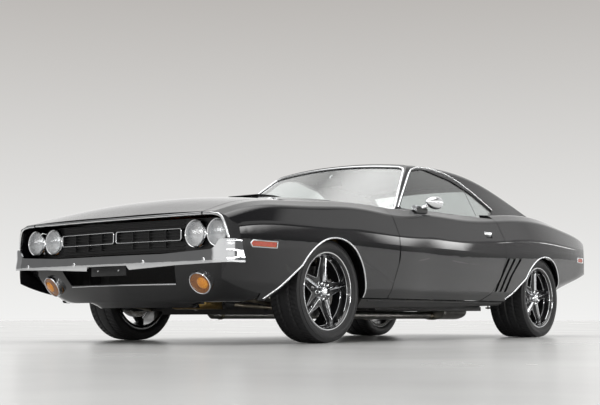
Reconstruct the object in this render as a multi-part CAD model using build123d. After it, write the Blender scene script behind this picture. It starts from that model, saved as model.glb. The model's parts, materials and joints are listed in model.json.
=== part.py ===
from build123d import *
import math
import os

# Muscle car, two-door hardtop. Millimetres, +Z up, ground at z = 0, front towards -Y,
# +X is the car's left side, origin under the middle of the car.

# ---- driving sizes ----------------------------------------------------------
LENGTH = 4862.0
HALF = LENGTH / 2
FRONT_AXLE = -1455.0
REAR_AXLE = 1339.0
TYRE_R = 315.0
RIM_R = 240.0
TYRE_OUT = 921.0         # outer sidewall of every tyre
FRONT_TYRE_W = 225.0
REAR_TYRE_W = 302.0
PANEL = 25.0             # body panel with its inner skin
GAP = 6.0                # shut line
ROOF_T = 28.0
GLASS_T = 5.0
KINGPIN_X = 748.0
DOOR_HINGE = (969.0, -834.0)

ARCH_R = 346.0
ARCH_Z = 284.0
ARCH_SHIFT = 20.0


# ---- small helpers ----------------------------------------------------------
def box(x0, x1, y0, y1, z0, z1):
    return Pos((x0 + x1) / 2, (y0 + y1) / 2, (z0 + z1) / 2) * Box(x1 - x0, y1 - y0, z1 - z0)


def rounded_wire(corners, place):
    """Closed wire through corners (a, b, radius), set in space by place(a, b)."""
    points = [Vector(*place(a, b)) for a, b, _ in corners]
    ends = []
    for i, corner in enumerate(points):
        radius = corners[i][2]
        back = (points[i - 1] - corner).normalized()
        ahead = (points[(i + 1) % len(points)] - corner).normalized()
        if radius <= 0:
            ends.append((corner, None, corner))
            continue
        angle = math.acos(max(-1.0, min(1.0, back.dot(ahead))))
        reach = radius / math.tan(angle / 2)
        middle = corner + (back + ahead).normalized() * (radius / math.sin(angle / 2) - radius)
        ends.append((corner + back * reach, middle, corner + ahead * reach))
    edges = []
    for i, (start, middle, end) in enumerate(ends):
        if middle is not None:
            edges.append(ThreePointArc(start, middle, end))
        edges.append(Line(end, ends[(i + 1) % len(ends)][0]))
    return Wire(edges)


def side_prism(corners, x0, x1):
    """Outline (y, z, radius) run from x0 to x1."""
    face = Face(rounded_wire(corners, lambda y, z: (x0, y, z)))
    return extrude(face, amount=x1 - x0, dir=(1, 0, 0))


def plan_prism(corners, z0, z1):
    """Outline (x, y, radius) run from z0 to z1."""
    face = Face(rounded_wire(corners, lambda x, y: (x, y, z0)))
    return extrude(face, amount=z1 - z0, dir=(0, 0, 1))


def front_prism(corners, y0, y1):
    """Outline (x, z, radius) run from y0 to y1."""
    face = Face(rounded_wire(corners, lambda x, z: (x, y0, z)))
    return extrude(face, amount=y1 - y0, dir=(0, 1, 0))


def both_sides(half):
    """Corners for x > 0 completed with their mirror image."""
    return half + [(-x, b, r) for x, b, r in reversed(half)]


def rod(start, end, radius):
    a, b = Vector(*start), Vector(*end)
    return Solid.make_cylinder(radius, (b - a).length, Plane(origin=a, z_dir=(b - a)))


def pipe(points, radius):
    result = rod(points[0], points[1], radius)
    for i in range(1, len(points) - 1):
        result += Pos(*points[i]) * Sphere(radius)
        result += rod(points[i], points[i + 1], radius)
    return result


def mirrored(shape):
    return mirror(shape, about=Plane.YZ)


def across(x, y, z, radius, length):
    """Cylinder along X centred at x, y, z."""
    return Pos(x, y, z) * Rot(0, 90, 0) * Cylinder(radius, length)


# ---- lower body -------------------------------------------------------------
# y | bottom x z | low x z | mid x z | crease x z | shoulder x z | edge x z | crown z
BODY = [
    (-2445, 820, 300, 860, 380, 915, 550, 912, 636, 890, 695, 806, 722, 730),
    (-2330, 830, 285, 875, 365, 930, 565, 926, 658, 896, 724, 812, 752, 776),
    (-2150, 838, 258, 892, 345, 944, 582, 940, 682, 902, 772, 818, 802, 846),
    (-1900, 848, 245, 908, 335, 957, 590, 953, 693, 908, 800, 824, 838, 894),
    (-1455, 855, 236, 915, 328, 963, 596, 959, 694, 911, 824, 830, 866, 936),
    (-1000, 862, 215, 928, 320, 966, 600, 961, 694, 912, 834, 834, 886, 950),
    (-400, 866, 222, 934, 326, 967, 600, 961, 694, 912, 843, 838, 896, 935),
    (300, 868, 236, 934, 330, 967, 600, 961, 698, 912, 853, 840, 905, 940),
    (800, 866, 248, 932, 340, 967, 610, 962, 736, 906, 888, 840, 940, 965),
    (1339, 850, 290, 926, 380, 965, 630, 959, 757, 896, 912, 832, 962, 985),
    (1800, 828, 370, 908, 445, 948, 640, 941, 742, 878, 882, 806, 926, 950),
    (2200, 800, 450, 876, 505, 905, 640, 896, 731, 850, 838, 776, 870, 893),
    (2445, 760, 510, 812, 545, 838, 640, 832, 727, 795, 786, 730, 812, 826),
]
BODY_RADII = (20, 90, 300, 70, 50, 45)


def body_solid(inset):
    """Lower body from nose to tail; inset > 0 gives the hollow behind its panels."""
    sections = []
    for row in BODY:
        y, crown = row[0], row[-1] - inset
        half = []
        for i in range(6):
            x, z = row[1 + 2 * i] - inset, row[2 + 2 * i]
            if i == 0:
                z -= 2 * inset
            if i >= 4:
                z -= inset
            half.append((x, z, BODY_RADII[i]))
        edge_x, edge_z = half[-1][0], half[-1][1]
        top_x = edge_x * 0.5
        rise = crown - edge_z
        angle = math.pi - math.atan2(rise, edge_x - top_x)
        reach = min(top_x, math.hypot(rise, edge_x - top_x) - 30)
        half.append((top_x, crown, 0.95 * reach * math.tan(angle / 2)))
        sections.append(Face(rounded_wire(both_sides(half), lambda x, z: (x, y, z))))
    return loft(sections)


def end_trim(inset):
    """Nose and tail in plan, and the tail's wedge seen from the side."""
    half = [
        (902 - inset, -HALF + 62 + inset, 55),
        (985 - inset, -HALF + 290, 200),
        (1100, -HALF + 900, 0),
        (1100, HALF - 700, 0),
        (905 - inset, HALF - 230, 200),
        (815 - inset, HALF - 42 - inset, 70),
        (400, HALF - 3 - inset, 1200),
    ]
    front = [(0, -HALF + 34 + inset, 700)]
    plan = plan_prism(front + half + [(-x, y, r) for x, y, r in reversed(half)], 50, 1400)
    side = [
        (-2600, 50, 0), (-2600, 1400, 0), (2230, 1400, 0), (2372 - inset, 830, 30),
        (HALF - inset, 672, 60), (2352 - inset, 540, 60), (1845, 414, 400), (1560, 318, 60),
        (1500, 50, 0),
    ]
    return plan & side_prism(side, -1200, 1200)


LOWER = body_solid(0)
LOWER_INNER = body_solid(PANEL)
TRIM = end_trim(0)
INNER = LOWER_INNER & end_trim(PANEL + 5)


def panel(region):
    """Skin of the lower body inside a region."""
    return largest((LOWER & (TRIM & region)) - INNER)


def largest(shape):
    return shape.solids().sort_by(SortBy.VOLUME)[-1]


# ---- greenhouse -------------------------------------------------------------
# y | base x | edge x z | crown z          (base at z = 820)
ROOF = [
    (-760, 824, 640, 1160, 1205),
    (-150, 824, 604, 1250, 1288),
    (250, 824, 590, 1274, 1316),
    (700, 824, 602, 1252, 1302),
    (1100, 822, 642, 1158, 1224),
    (1500, 816, 704, 1016, 1078),
    (1850, 800, 764, 925, 968),
    (2000, 790, 778, 888, 918),
]
SCREEN_BASE = (-640.0, 928.0)    # y, z of the windshield's lower edge on the centre line
SCREEN_TOP = (-150.0, 1274.0)
SCREEN_R = 3800.0
REAR_BASE = (1640.0, 985.0)
REAR_TOP = (985.0, 1250.0)
REAR_R = 5200.0


def glass_drum(base, top, radius, inset):
    """Cylinder whose axis runs parallel to a sloping screen's centre line."""
    slope = Vector(0, top[0] - base[0], top[1] - base[1]).normalized()
    inward = Vector(0, slope.Z, -slope.Y)
    if inward.Z > 0:
        inward = inward * -1
    centre = Vector(0, base[0], base[1]) + inward * radius - slope * 3000
    return Solid.make_cylinder(radius - inset, 7000, Plane(origin=centre, z_dir=slope))


def greenhouse_sides(inset):
    sections = []
    for y, base_x, edge_x, edge_z, crown in ROOF:
        base_x, edge_x, edge_z, crown = (v - inset for v in (base_x, edge_x, edge_z, crown))
        top_x = edge_x * 0.5
        rise = crown - edge_z
        angle = math.pi - math.atan2(rise, edge_x - top_x)
        reach = min(top_x, math.hypot(rise, edge_x - top_x) - 60)
        half = [
            (base_x, 820, 0),
            (edge_x, edge_z, 64 - inset / 2),
            (top_x, crown, 0.95 * reach * math.tan(angle / 2)),
        ]
        sections.append(Face(rounded_wire(both_sides(half), lambda x, z: (x, y, z))))
    return loft(sections)


def greenhouse_solid(inset):
    solid = greenhouse_sides(inset) & glass_drum(SCREEN_BASE, SCREEN_TOP, SCREEN_R, inset)
    return solid & glass_drum(REAR_BASE, REAR_TOP, REAR_R, inset)


HOUSE = greenhouse_solid(0)
HOUSE_INNER = greenhouse_solid(ROOF_T)

# ---- door outline, seen from the side -------------------------------------
# y | z | corner radius
DOOR_FRONT = [(-763, 930, 0), (-758, 815, 60), (-742, 531, 60), (-827, 279, 20)]
DOOR_REAR = [(405, 279, 10), (431, 290, 60), (530, 340, 120), (634, 445, 150), (704, 607, 60),
             (701, 677, 60), (650, 930, 0)]


def door_corners(grow, rear_shift=0.0):
    result = [(y - grow, z - (grow if z < 280 else 0), r) for y, z, r in DOOR_FRONT]
    for y, z, r in DOOR_REAR:
        result.append((y + grow - rear_shift, z - (grow if z < 300 else 0), r))
    return result


def door_prism(grow):
    """The door outline, drawn in towards the cabin at the rear so that the door swings clear."""
    outside = Face(rounded_wire(door_corners(grow), lambda y, z: (1000, y, z)))
    inside = Face(rounded_wire(door_corners(grow, 18), lambda y, z: (700, y, z)))
    return loft([inside, outside], ruled=True)


# ---- wheel openings ---------------------------------------------------------
def arch_prism(axle, front_reach):
    """Round above the wheel, running down straight to the front."""
    centre = axle + ARCH_SHIFT
    last = math.radians(150)
    rear = (0, centre + ARCH_R, ARCH_Z)
    top = (0, centre + ARCH_R * math.cos(last / 2), ARCH_Z + ARCH_R * math.sin(last / 2))
    front = (0, centre + ARCH_R * math.cos(last), ARCH_Z + ARCH_R * math.sin(last))
    leg = (0, axle + front_reach, 225)
    wire = Wire([
        Line((0, centre + ARCH_R, 50), rear),
        ThreePointArc(rear, top, front),
        Line(front, leg),
        Line(leg, (0, axle + front_reach - 160, 50)),
        Line((0, axle + front_reach - 160, 50), (0, centre + ARCH_R, 50)),
    ])
    return extrude(Face(wire), amount=1200, dir=(1, 0, 0))


ARCH_FRONT = arch_prism(FRONT_AXLE, -560)
ARCH_REAR = arch_prism(REAR_AXLE, -640)

# ---- painted panels ---------------------------------------------------------
HOOD_HALF = 728.0
HOOD_REAR = -742.0
LID_HALF = 655.0
LID_FRONT = 1668.0
HOOD_LIP = 716.0         # underside of the hood's nose, above the grille
MOUTH = [(884, 524, 30), (897, 600, 60), (874, 724, 64)]
SILL_TOP = 279 - GAP
CHIN_Z = 470.0           # joint between the fenders and the chin below them
CHIN_REAR = -2040.0
CHIN_HALF = 868.0        # the fenders' lower ends stand outside the chin

hood_space = plan_prism(both_sides([(HOOD_HALF + GAP, -2600, 0), (HOOD_HALF + GAP, HOOD_REAR + GAP, 12)]),
                        690, 1200)
lid_space = plan_prism(both_sides([(LID_HALF + GAP, LID_FRONT - GAP, 30), (LID_HALF + GAP, 2600, 0)]),
                       766, 1200)
mouth = front_prism(both_sides(MOUTH), -2700, -2200)
door_space = door_prism(GAP)

fender_region = box(640, 1200, -2600, -700, 200, 1300) - hood_space - mouth - door_space
fender_region -= ARCH_FRONT
fender_region -= box(0, CHIN_HALF + 1, -2600, CHIN_REAR, 0, CHIN_Z)
fender_region -= box(0, 1200, -1130, -700, 0, 279)
fender_region -= box(0, 820, -2600, -700, 0, 500)
fender_region -= box(0, 800, HOOD_REAR, -600, 780, 1300)
fender_region -= box(0, 1200, -757, -600, 0, 1300)
fender_left = panel(fender_region)

TAIL_HALF = 700.0
quarter_region = box(600, 1200, 380, 2600, 200, 1300) - lid_space - door_space - ARCH_REAR
quarter_region -= box(0, 1200, 300, REAR_AXLE - 300, 0, 279)
quarter_region -= box(0, 770, 300, LID_FRONT - 40, 500, 1200)
quarter_region -= box(0, 820, 300, 2000, 0, 500)
quarter_region -= box(0, TAIL_HALF, 2290, 2600, 0, 1300)
quarter_left = panel(quarter_region)

# slanted intake slots in the quarter, between the door and the wheel opening
SLOTS = 3
SLOT_STEP = 92.0
slot_solids = None
for i in range(SLOTS):
    shift = SLOT_STEP * i
    foot = 0.8 * shift
    slot = side_prism([(722 + shift, 600, 6), (764 + shift, 604, 6), (672 + foot, 470, 200),
                       (596 + foot, 350, 6), (556 + foot, 344, 6), (640 + foot, 470, 200)], 850, 1000)
    slot_solids = slot if slot_solids is None else slot_solids + slot
quarter_left -= slot_solids - front_prism([(0, 200, 0), (914, 200, 0), (920, 344, 0), (952, 606, 0), (0, 700, 0)],
                                          400, 1100)
quarter_left = largest(quarter_left)

tail_region = box(-TAIL_HALF + 1, TAIL_HALF - 1, 2290, 2600, 520, 1300) - lid_space
tail_panel = panel(tail_region)

hood = panel(plan_prism(both_sides([(HOOD_HALF, -2600, 0), (HOOD_HALF, HOOD_REAR, 12)]), HOOD_LIP, 1200)
             - front_prism(both_sides([(800, 0, 0), (800, 724, 0)]), -2700, -2290))
# two scoops standing on the hood, open to the front
SCOOP_X = (40.0, 300.0)
SCOOP_Y = (-1400.0, -1010.0)
SCOOP_TOP = 957.0
for side in (1, -1):
    x0, x1 = sorted((side * SCOOP_X[0], side * SCOOP_X[1]))
    scoop = side_prism([(SCOOP_Y[0], 915, 0), (SCOOP_Y[0], SCOOP_TOP - 3, 5), (-1250, SCOOP_TOP + 1, 300),
                        (SCOOP_Y[1], 944, 0), (SCOOP_Y[1], 915, 0)], x0, x1)
    throat = box(x0 + 12, x1 - 12, SCOOP_Y[0] - 10, SCOOP_Y[0] + 80, 940, SCOOP_TOP - 9)
    hood += largest(scoop - LOWER_INNER) - throat
hood = largest(hood)

trunk_lid = panel(plan_prism(both_sides([(LID_HALF, LID_FRONT, 30), (LID_HALF, 2600, 0)]), 772, 1200))


def chin_solid(inset):
    """Rounded chin under the bumper, sweeping back to the wheel openings."""
    # z | centre y | corner x y radius | rear x
    table = [
        (CHIN_Z, -2386, 888, -2338, 110, 940),
        (410, -2374, 852, -2300, 140, 925),
        (343, -2354, 792, -2248, 170, 905),
        (280, -2324, 690, -2200, 190, 875),
        (245, -2302, 520, -2190, 170, 660),
        (212, -2274, 330, -2180, 140, 420),
    ]
    faces = []
    for z, front_y, corner_x, corner_y, radius, rear_x in table:
        half = [(corner_x - inset, corner_y + inset, radius), (rear_x - inset, CHIN_REAR, 0)]
        corners = [(0, front_y + inset, 600)] + half + [(-x, y, r) for x, y, r in reversed(half)]
        level = z - 1 if z == 212 and inset else z
        level = z + 1 if z == CHIN_Z and inset else level
        faces.append(Face(rounded_wire(corners, lambda x, y: (x, y, level))))
    return loft(faces)


front_valance = chin_solid(0) & box(-CHIN_HALF, CHIN_HALF, -2600, CHIN_REAR - 12, 0, 600)
front_valance -= chin_solid(20)
front_valance -= front_prism(both_sides([(455, 350, 12), (500, 470, 0), (500, 500, 0)]), -2700, -2200)
front_valance = largest(front_valance)

# cowl between the hood and the windshield
cowl_panel = (LOWER & box(-722, 722, HOOD_REAR + GAP, -470, 780, 1200)) - LOWER_INNER
cowl_panel -= HOUSE
cowl_panel = largest(cowl_panel)

# ---- roof with its pillars --------------------------------------------------
SIDE_GLASS = [
    (-478, 900, 12), (-84, 1210, 34), (100, 1246, 200), (447, 1190, 500),
    (700, 1097, 300), (900, 972, 14), (840, 948, 30), (640, 912, 60),
]
SIDE_GLASS_MIDDLE = (200, 1050)


def shift_outline(corners, grow, centre):
    result = []
    for a, b, r in corners:
        da, db = a - centre[0], b - centre[1]
        size = math.hypot(da, db)
        result.append((a + grow * da / size, b + grow * db / size, r))
    return result


def screen_prism(base, top, corners):
    """Outline (x, distance up the screen, radius) run square through the screen."""
    slope = Vector(0, top[0] - base[0], top[1] - base[1]).normalized()
    normal = Vector(1, 0, 0).cross(slope)

    def place(a, b):
        point = Vector(0, base[0], base[1]) + Vector(1, 0, 0) * a + slope * b - normal * 400
        return (point.X, point.Y, point.Z)

    return extrude(Face(rounded_wire(corners, place)), amount=800, dir=normal)


WINDSHIELD = [(800, 6, 0), (586, 584, 50)]
REAR_WINDOW = [(640, 20, 60), (520, 610, 70)]
roof_region = box(-1000, 1000, -900, 2100, 800, 1400) - side_prism(SIDE_GLASS, -1000, 1000)
roof_region -= screen_prism(SCREEN_BASE, SCREEN_TOP, both_sides(WINDSHIELD))
roof_region -= screen_prism(REAR_BASE, REAR_TOP, both_sides(REAR_WINDOW))
roof_region -= box(-LID_HALF - 8, LID_HALF + 8, LID_FRONT - 8, 2100, 800, 1400)
roof_panel = largest((HOUSE & roof_region) - HOUSE_INNER - LOWER)


def screen_glass(base, top, radius, corners):
    skin = glass_drum(base, top, radius, 5) & screen_prism(base, top, corners)
    skin -= glass_drum(base, top, radius, 5 + GLASS_T)
    return largest(skin - LOWER)


windshield = screen_glass(SCREEN_BASE, SCREEN_TOP, SCREEN_R, both_sides([(797, 0, 0), (583, 581, 50)]))
rear_window = screen_glass(REAR_BASE, REAR_TOP, REAR_R, both_sides([(637, 23, 60), (517, 607, 70)]))

GLASS_SPLIT = 606.0
side_skin = greenhouse_sides(5) & box(300, 1000, -700, 1200, 860, 1400)
side_skin -= greenhouse_sides(5 + GLASS_T)
quarter_area = side_prism(shift_outline(SIDE_GLASS, -3, SIDE_GLASS_MIDDLE), 300, 1000)
quarter_glass = largest(side_skin & (quarter_area & box(0, 1000, GLASS_SPLIT, 1200, 0, 1300)) - LOWER)
quarter_windows = quarter_glass + mirrored(quarter_glass)
door_area = side_prism(shift_outline(SIDE_GLASS, -8, SIDE_GLASS_MIDDLE), 300, 1000)
door_glass_left = largest(side_skin & (door_area - box(0, 1000, GLASS_SPLIT - GAP, 1200, 0, 1300)))

# ---- doors ------------------------------------------------------------------
DOOR_TOP = 898.0
door_region = door_prism(0) & box(0, 1200, -1000, 1000, 0, DOOR_TOP)
door_region -= front_prism([(0, 100, 0), (838, 100, 0), (838, 280, 0), (745, 900, 0),
                            (745, 1300, 0), (0, 1300, 0)], -2000, 2000)
door_left = LOWER & door_region
door_left -= greenhouse_sides(-2) & (box(0, 1000, -2000, 2000, 893, 1400)
                                     + box(0, 1000, -2000, -480, 884, 1400))
# hand recess behind the pull
door_left -= box(930, 1000, 430, 516, 742, 770)
door_left = largest(door_left)

# bullet mirror on the driver's door
MIRROR = (914.0, -262.0, 950.0)
mirror_profile = Face(Wire([
    Line((72, 0), (72, 41)), Line((72, 41), (64, 44)), ThreePointArc((64, 44), (-30, 33), (-86, 0)),
    Line((-86, 0), (72, 0)),
]))
mirror_left = Pos(*MIRROR) * Rot(0, 0, 90) * revolve(mirror_profile, axis=Axis.X)
mirror_left += rod((MIRROR[0] - 6, MIRROR[1] - 12, MIRROR[2] - 16), (860, -330, 908), 11)
mirror_left += front_prism([(842, 905, 0), (876, 880, 0), (870, 922, 6), (850, 922, 6)], -412, -272)

# ---- floor, firewall, wheelhouses: plates that meet edge to edge -------------
FLOOR_Z = 205.0
KICK_Y = 640.0           # the floor steps up here, ahead of the rear seat
BULKHEAD_Y = 1085.0
TUNNEL = 130.0
TRUNK_HALF = 575.0
floor_pieces = [
    box(-TUNNEL, TUNNEL, -760, KICK_Y, 395, 420),
    box(-722, 722, -785, -760, 500, 830),
    box(-560, 560, KICK_Y + 25, BULKHEAD_Y, 400, 425),
    box(-TRUNK_HALF, TRUNK_HALF, BULKHEAD_Y, BULKHEAD_Y + 25, 400, 850),
    box(-TRUNK_HALF, TRUNK_HALF, BULKHEAD_Y + 25, 2290, 470, 490),
    box(-TRUNK_HALF, TRUNK_HALF, 2290, 2310, 470, 520),
]
for side in (1, -1):
    def slab(a, b, *rest):
        x0, x1 = sorted((side * a, side * b))
        return box(x0, x1, *rest)

    floor_pieces += [
        slab(TUNNEL, 772, -760, KICK_Y, FLOOR_Z, FLOOR_Z + 30),
        slab(TUNNEL - 25, TUNNEL, -760, KICK_Y, FLOOR_Z, 395),
        slab(TUNNEL, 722, -785, -760, FLOOR_Z, 500),
        slab(TUNNEL, 560, KICK_Y, KICK_Y + 25, FLOOR_Z, 400),
        slab(560, TRUNK_HALF, KICK_Y, BULKHEAD_Y, 380, 850),
        slab(TRUNK_HALF, TRUNK_HALF + 20, BULKHEAD_Y, 2290, 420, 800),
        slab(455, 520, -2150, -785, 330, 420),
        slab(440, 500, 1110, 2290, 400, 470),
    ]
    sill = LOWER & (box(772, 1200, -1130, 1000, 190, SILL_TOP) - ARCH_REAR - ARCH_FRONT)
    sill = largest(sill)
    floor_pieces.append(sill if side > 0 else mirrored(sill))
floor_pan = Compound(children=floor_pieces)

# ---- grille and lamps -------------------------------------------------------
LAMPS = [(-787, 628), (-617, 628), (617, 628), (787, 628)]
LAMP_FACE = -2306.0
GRILLE_PLAN = [(0, -2366, 900), (520, -2330, 120), (880, -2262, 0)]


def plan_band(corners, front, back):
    """Wall that follows a plan line, from front to back of it."""
    near = [(x, y + front, r) for x, y, r in corners]
    far = [(x, y + back, r) for x, y, r in corners]
    loop = near + [(x, y, r) for x, y, r in reversed(far)]
    left = [(-x, y, r) for x, y, r in near[1:]]
    left_far = [(-x, y, r) for x, y, r in far[1:]]
    loop = [near[0]] + near[1:] + list(reversed(far[1:])) + [far[0]] + left_far + list(reversed(left))
    return plan_prism(loop, 300, 900)


grille = plan_band(GRILLE_PLAN, 30, 44) & front_prism(both_sides([(864, 528, 20), (858, 716, 20)]),
                                                      -2700, -2150)
RIBS = 9
for i in range(RIBS):
    z = 543 + i * 20
    grille += plan_band(GRILLE_PLAN, 18, 31) & box(-528, 528, -2700, -2150, z - 2.5, z + 2.5)
frame_band = plan_band(GRILLE_PLAN, 4, 31)
for side in (1, -1):
    x0, x1 = sorted((side * 8, side * 520))
    outline = [(x0, 590, 16), (x1, 590, 16), (x1, 664, 16), (x0, 664, 16)]
    inner = [(x0 + 7, 597, 10), (x1 - 7, 597, 10), (x1 - 7, 657, 10), (x0 + 7, 657, 10)]
    grille += frame_band & (front_prism(outline, -2700, -2150) - front_prism(inner, -2700, -2150))
    for k in range(1, 4):
        bar = x0 + (x1 - x0) * k / 4
        grille += plan_band(GRILLE_PLAN, 10, 31) & box(bar - 4, bar + 4, -2700, -2150, 556, 658)


def lamp_solid(x, z):
    """Sealed beam: bezel ring round a domed lens, turned about its own axis."""
    profile = Face(Wire([
        Line((0, -12), (72, 2)), Line((72, 2), (74, 8)), Line((74, 8), (80, -6)),
        Line((80, -6), (84, 6)), Line((84, 6), (84, 60)), Line((84, 60), (0, 60)),
        Line((0, 60), (0, -12)),
    ]))
    return Pos(x, LAMP_FACE, z) * revolve(profile, axis=Axis.Y)


headlamps = None
grille_holes = None
for x, z in LAMPS:
    lamp = lamp_solid(x, z)
    headlamps = lamp if headlamps is None else headlamps + lamp
    hole = Pos(x, LAMP_FACE, z) * Rot(90, 0, 0) * Cylinder(84.5, 300)
    grille_holes = hole if grille_holes is None else grille_holes + hole
grille = largest(grille - grille_holes)

# ---- bumpers ----------------------------------------------------------------
def bumper_solid(plan, sign, crown, wall, reach):
    """Bright bar bowed in plan, from (x, distance inside the car's end, radius), and crowned in height."""
    def section(z, inset, back_y):
        half = [(x - inset, sign * (HALF - back - inset), r) for x, back, r in plan]
        if back_y:
            half[-1] = (half[-1][0], back_y, 0)
        corners = [(0, sign * (HALF - inset), 900)] + half
        corners += [(-x, y, r) for x, y, r in reversed(half)]
        return Face(rounded_wire(corners, lambda x, y: (x, y, z)))

    hollow = [(crown[0][0] - 1, crown[0][1])] + crown[1:-1] + [(crown[-1][0] + 1, crown[-1][1])]
    inner = loft([section(z, inset + wall, sign * reach) for z, inset in hollow])
    return loft([section(z, inset, None) for z, inset in crown]) - inner


FRONT_PLAN = [(830, 34, 130), (945, 58, 60), (949, 176, 0)]
FRONT_CROWN = [(424, 14), (440, 5), (470, 0), (500, 2), (545, 4), (590, 6)]
FRONT_EDGE = [(168, 455, 4), (184, 430, 4), (560, 447, 200), (960, 456, 0),
              (960, 584, 10), (868, 584, 16), (826, 530, 60), (450, 513, 200)]
front_bumper = bumper_solid(FRONT_PLAN, -1, FRONT_CROWN, 10, 2100)
front_bumper &= front_prism(both_sides(FRONT_EDGE), -2700, -2200)
front_bumper -= side_prism([(-2255, 400, 0), (-2262, 470, 0), (-2290, 600, 0), (-2200, 600, 0),
                            (-2200, 400, 0)], -1000, 1000)
front_bumper = largest(front_bumper)
REAR_PLAN = [(735, 26, 120), (800, 70, 60), (812, 150, 0)]
REAR_CROWN = [(516, 14), (528, 4), (556, 0), (584, 4), (598, 14)]
rear_bumper = bumper_solid(REAR_PLAN, 1, REAR_CROWN, 14, 2100)
rear_bumper -= side_prism([(2100, 480, 0), (2352, 480, 0), (2352, 540, 0), (2431, 672, 0), (2100, 672, 0)],
                          -1000, 1000)
rear_bumper = largest(rear_bumper)

tail_lamp = largest((LOWER & (TRIM & box(70, 640, 2300, 2600, 612, 742))) - end_trim(18))
tail_lamps = tail_lamp + mirrored(tail_lamp)
lamp_holes = box(69, 641, 2370, 2600, 611, 743)
tail_panel = largest(tail_panel - lamp_holes - mirrored(lamp_holes))

MARK_DEPTH = body_solid(9)
PARK = Plane(origin=(640, -2290, 352), z_dir=(0.12, -0.84, -0.50))
park = PARK * Pos(0, 0, -22) * Cylinder(70, 60)
park_hole = PARK * Pos(0, 0, -22) * Cylinder(70.5, 60)
front_valance = front_valance - park_hole - mirrored(park_hole)
front_mark = largest((LOWER & box(925, 972, -2200, -1994, 551, 580)) - MARK_DEPTH)
rear_mark = largest((LOWER & box(880, 960, 2030, 2160, 625, 655)) - MARK_DEPTH)
markers = park + Pos(0.5, 0, 0) * (front_mark + rear_mark)
marker_lamps = markers + mirrored(markers)
front_valance = largest(front_valance)
fender_left = largest(fender_left - (box(925, 980, -2201, -1993, 550, 581) - MARK_DEPTH))
quarter_left = largest(quarter_left - (box(880, 980, 2029, 2161, 624, 656) - MARK_DEPTH))

# ---- cabin ------------------------------------------------------------------
def seat_half(x0, x1, cushion, back):
    """Cushion and backrest outlines (y, z, radius) run across one seat."""
    return [side_prism(cushion, x0, x1), side_prism(back, x0 + 12, x1 - 12)]


seat_pieces = []
for side in (1, -1):
    x0, x1 = sorted((side * 165, side * 655))
    seat_pieces += seat_half(
        x0, x1,
        [(-180, 330, 40), (-185, 445, 55), (262, 425, 0), (262, 290, 0), (-150, 290, 20)],
        [(262, 290, 0), (262, 425, 0), (395, 940, 30), (482, 935, 30), (392, 420, 0), (372, 290, 0)])
    seat_pieces += [box(x0 + 40, x0 + 70, -120, 240, 235, 290), box(x1 - 70, x1 - 40, -120, 240, 235, 290)]
front_seats = Compound(children=seat_pieces)
rear_seat = Compound(children=seat_half(
    -556, 556,
    [(668, 425, 20), (668, 520, 40), (985, 500, 0), (985, 425, 0)],
    [(985, 425, 0), (985, 500, 0), (1012, 860, 40), (1080, 860, 20), (1084, 425, 0)]))
dashboard = side_prism([(-700, 640, 0), (-700, 850, 30), (-560, 872, 60), (-452, 812, 40),
                        (-470, 640, 30)], -690, 690)

COLUMN = Plane(origin=(370, -400, 700), z_dir=(0, 400, 190))
steering_wheel = COLUMN * Pos(0, 0, 110) * Torus(185, 13)
steering_wheel += COLUMN * Pos(0, 0, 62) * Cylinder(16, 96)
for turn in (0, 180, 270):
    spoke = Rot(0, 0, turn) * Pos(100, 0, 0) * Box(176, 26, 7)
    steering_wheel += COLUMN * Pos(0, 0, 104) * spoke
steering_wheel += COLUMN * Pos(0, 0, 104) * Cylinder(44, 22)

# ---- running gear -----------------------------------------------------------
engine_block = box(-240, 240, -1980, -1330, 300, 700)
AXLE_END = 797.0
driveline = Compound(children=[
    box(-95, 95, -1325, -790, 235, 390),
    rod((0, -785, 322), (0, REAR_AXLE - 128, 318), 38),
    across(0, REAR_AXLE, TYRE_R, 125, 190),
    across((95 + AXLE_END) / 2, REAR_AXLE, TYRE_R, 40, AXLE_END - 95),
    across(-(95 + AXLE_END) / 2, REAR_AXLE, TYRE_R, 40, AXLE_END - 95),
])
SPRING_X = (474, 534)
spring_pieces = []
exhaust = None
for side in (1, -1):
    x0, x1 = sorted((side * SPRING_X[0], side * SPRING_X[1]))
    spring_pieces += [
        side_prism([(760, 318, 0), (760, 292, 0), (REAR_AXLE, 249, 0), (REAR_AXLE, 275, 0)], x0, x1),
        side_prism([(REAR_AXLE, 275, 0), (REAR_AXLE, 249, 0), (1960, 372, 0), (1960, 398, 0)], x0, x1),
    ]
    line = pipe([(side * 300, -1360, 330), (side * 300, -1180, 174), (side * 300, 700, 174)], 28)
    muffler = Pos(side * 300, 850, 200) * Rot(90, 0, 0) * extrude(Ellipse(125, 58), amount=170, both=True)
    tail = rod((side * 430, 1990, 340), (side * 430, 2400, 340), 32)
    tail -= rod((side * 430, 2310, 340), (side * 430, 2410, 340), 28)
    line += muffler
    line += tail
    exhaust = line if exhaust is None else exhaust + line
leaf_springs = Compound(children=spring_pieces)
fuel_tank = side_prism([(1600, 320, 50), (1600, 466, 20), (2200, 466, 20), (2200, 330, 60)], -370, 370)
arm_pieces = [box(-450, 450, FRONT_AXLE - 60, FRONT_AXLE + 60, 175, 250)]
for side in (1, -1):
    x0, x1 = sorted((side * 450, side * (KINGPIN_X - 12)))
    arm = box(x0, x1, FRONT_AXLE - 40, FRONT_AXLE + 40, 200, 226)
    arm_pieces.append(arm + Pos(side * KINGPIN_X, FRONT_AXLE, 220) * Cylinder(22, 40))
front_suspension = Compound(children=arm_pieces)

# ---- wheels -----------------------------------------------------------------
def tyre(x, y, width):
    half = width / 2
    corners = [
        (-half + 14, RIM_R, 0), (-half, RIM_R + 30, 22), (-half + 8, TYRE_R, 20),
        (half - 8, TYRE_R, 20), (half, RIM_R + 30, 22), (half - 14, RIM_R, 0),
    ]
    profile = rounded_wire(corners, lambda a, b: (x + a, y, TYRE_R + b))
    return revolve(Face(profile), axis=Axis((x, y, TYRE_R), (1, 0, 0)))


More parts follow.
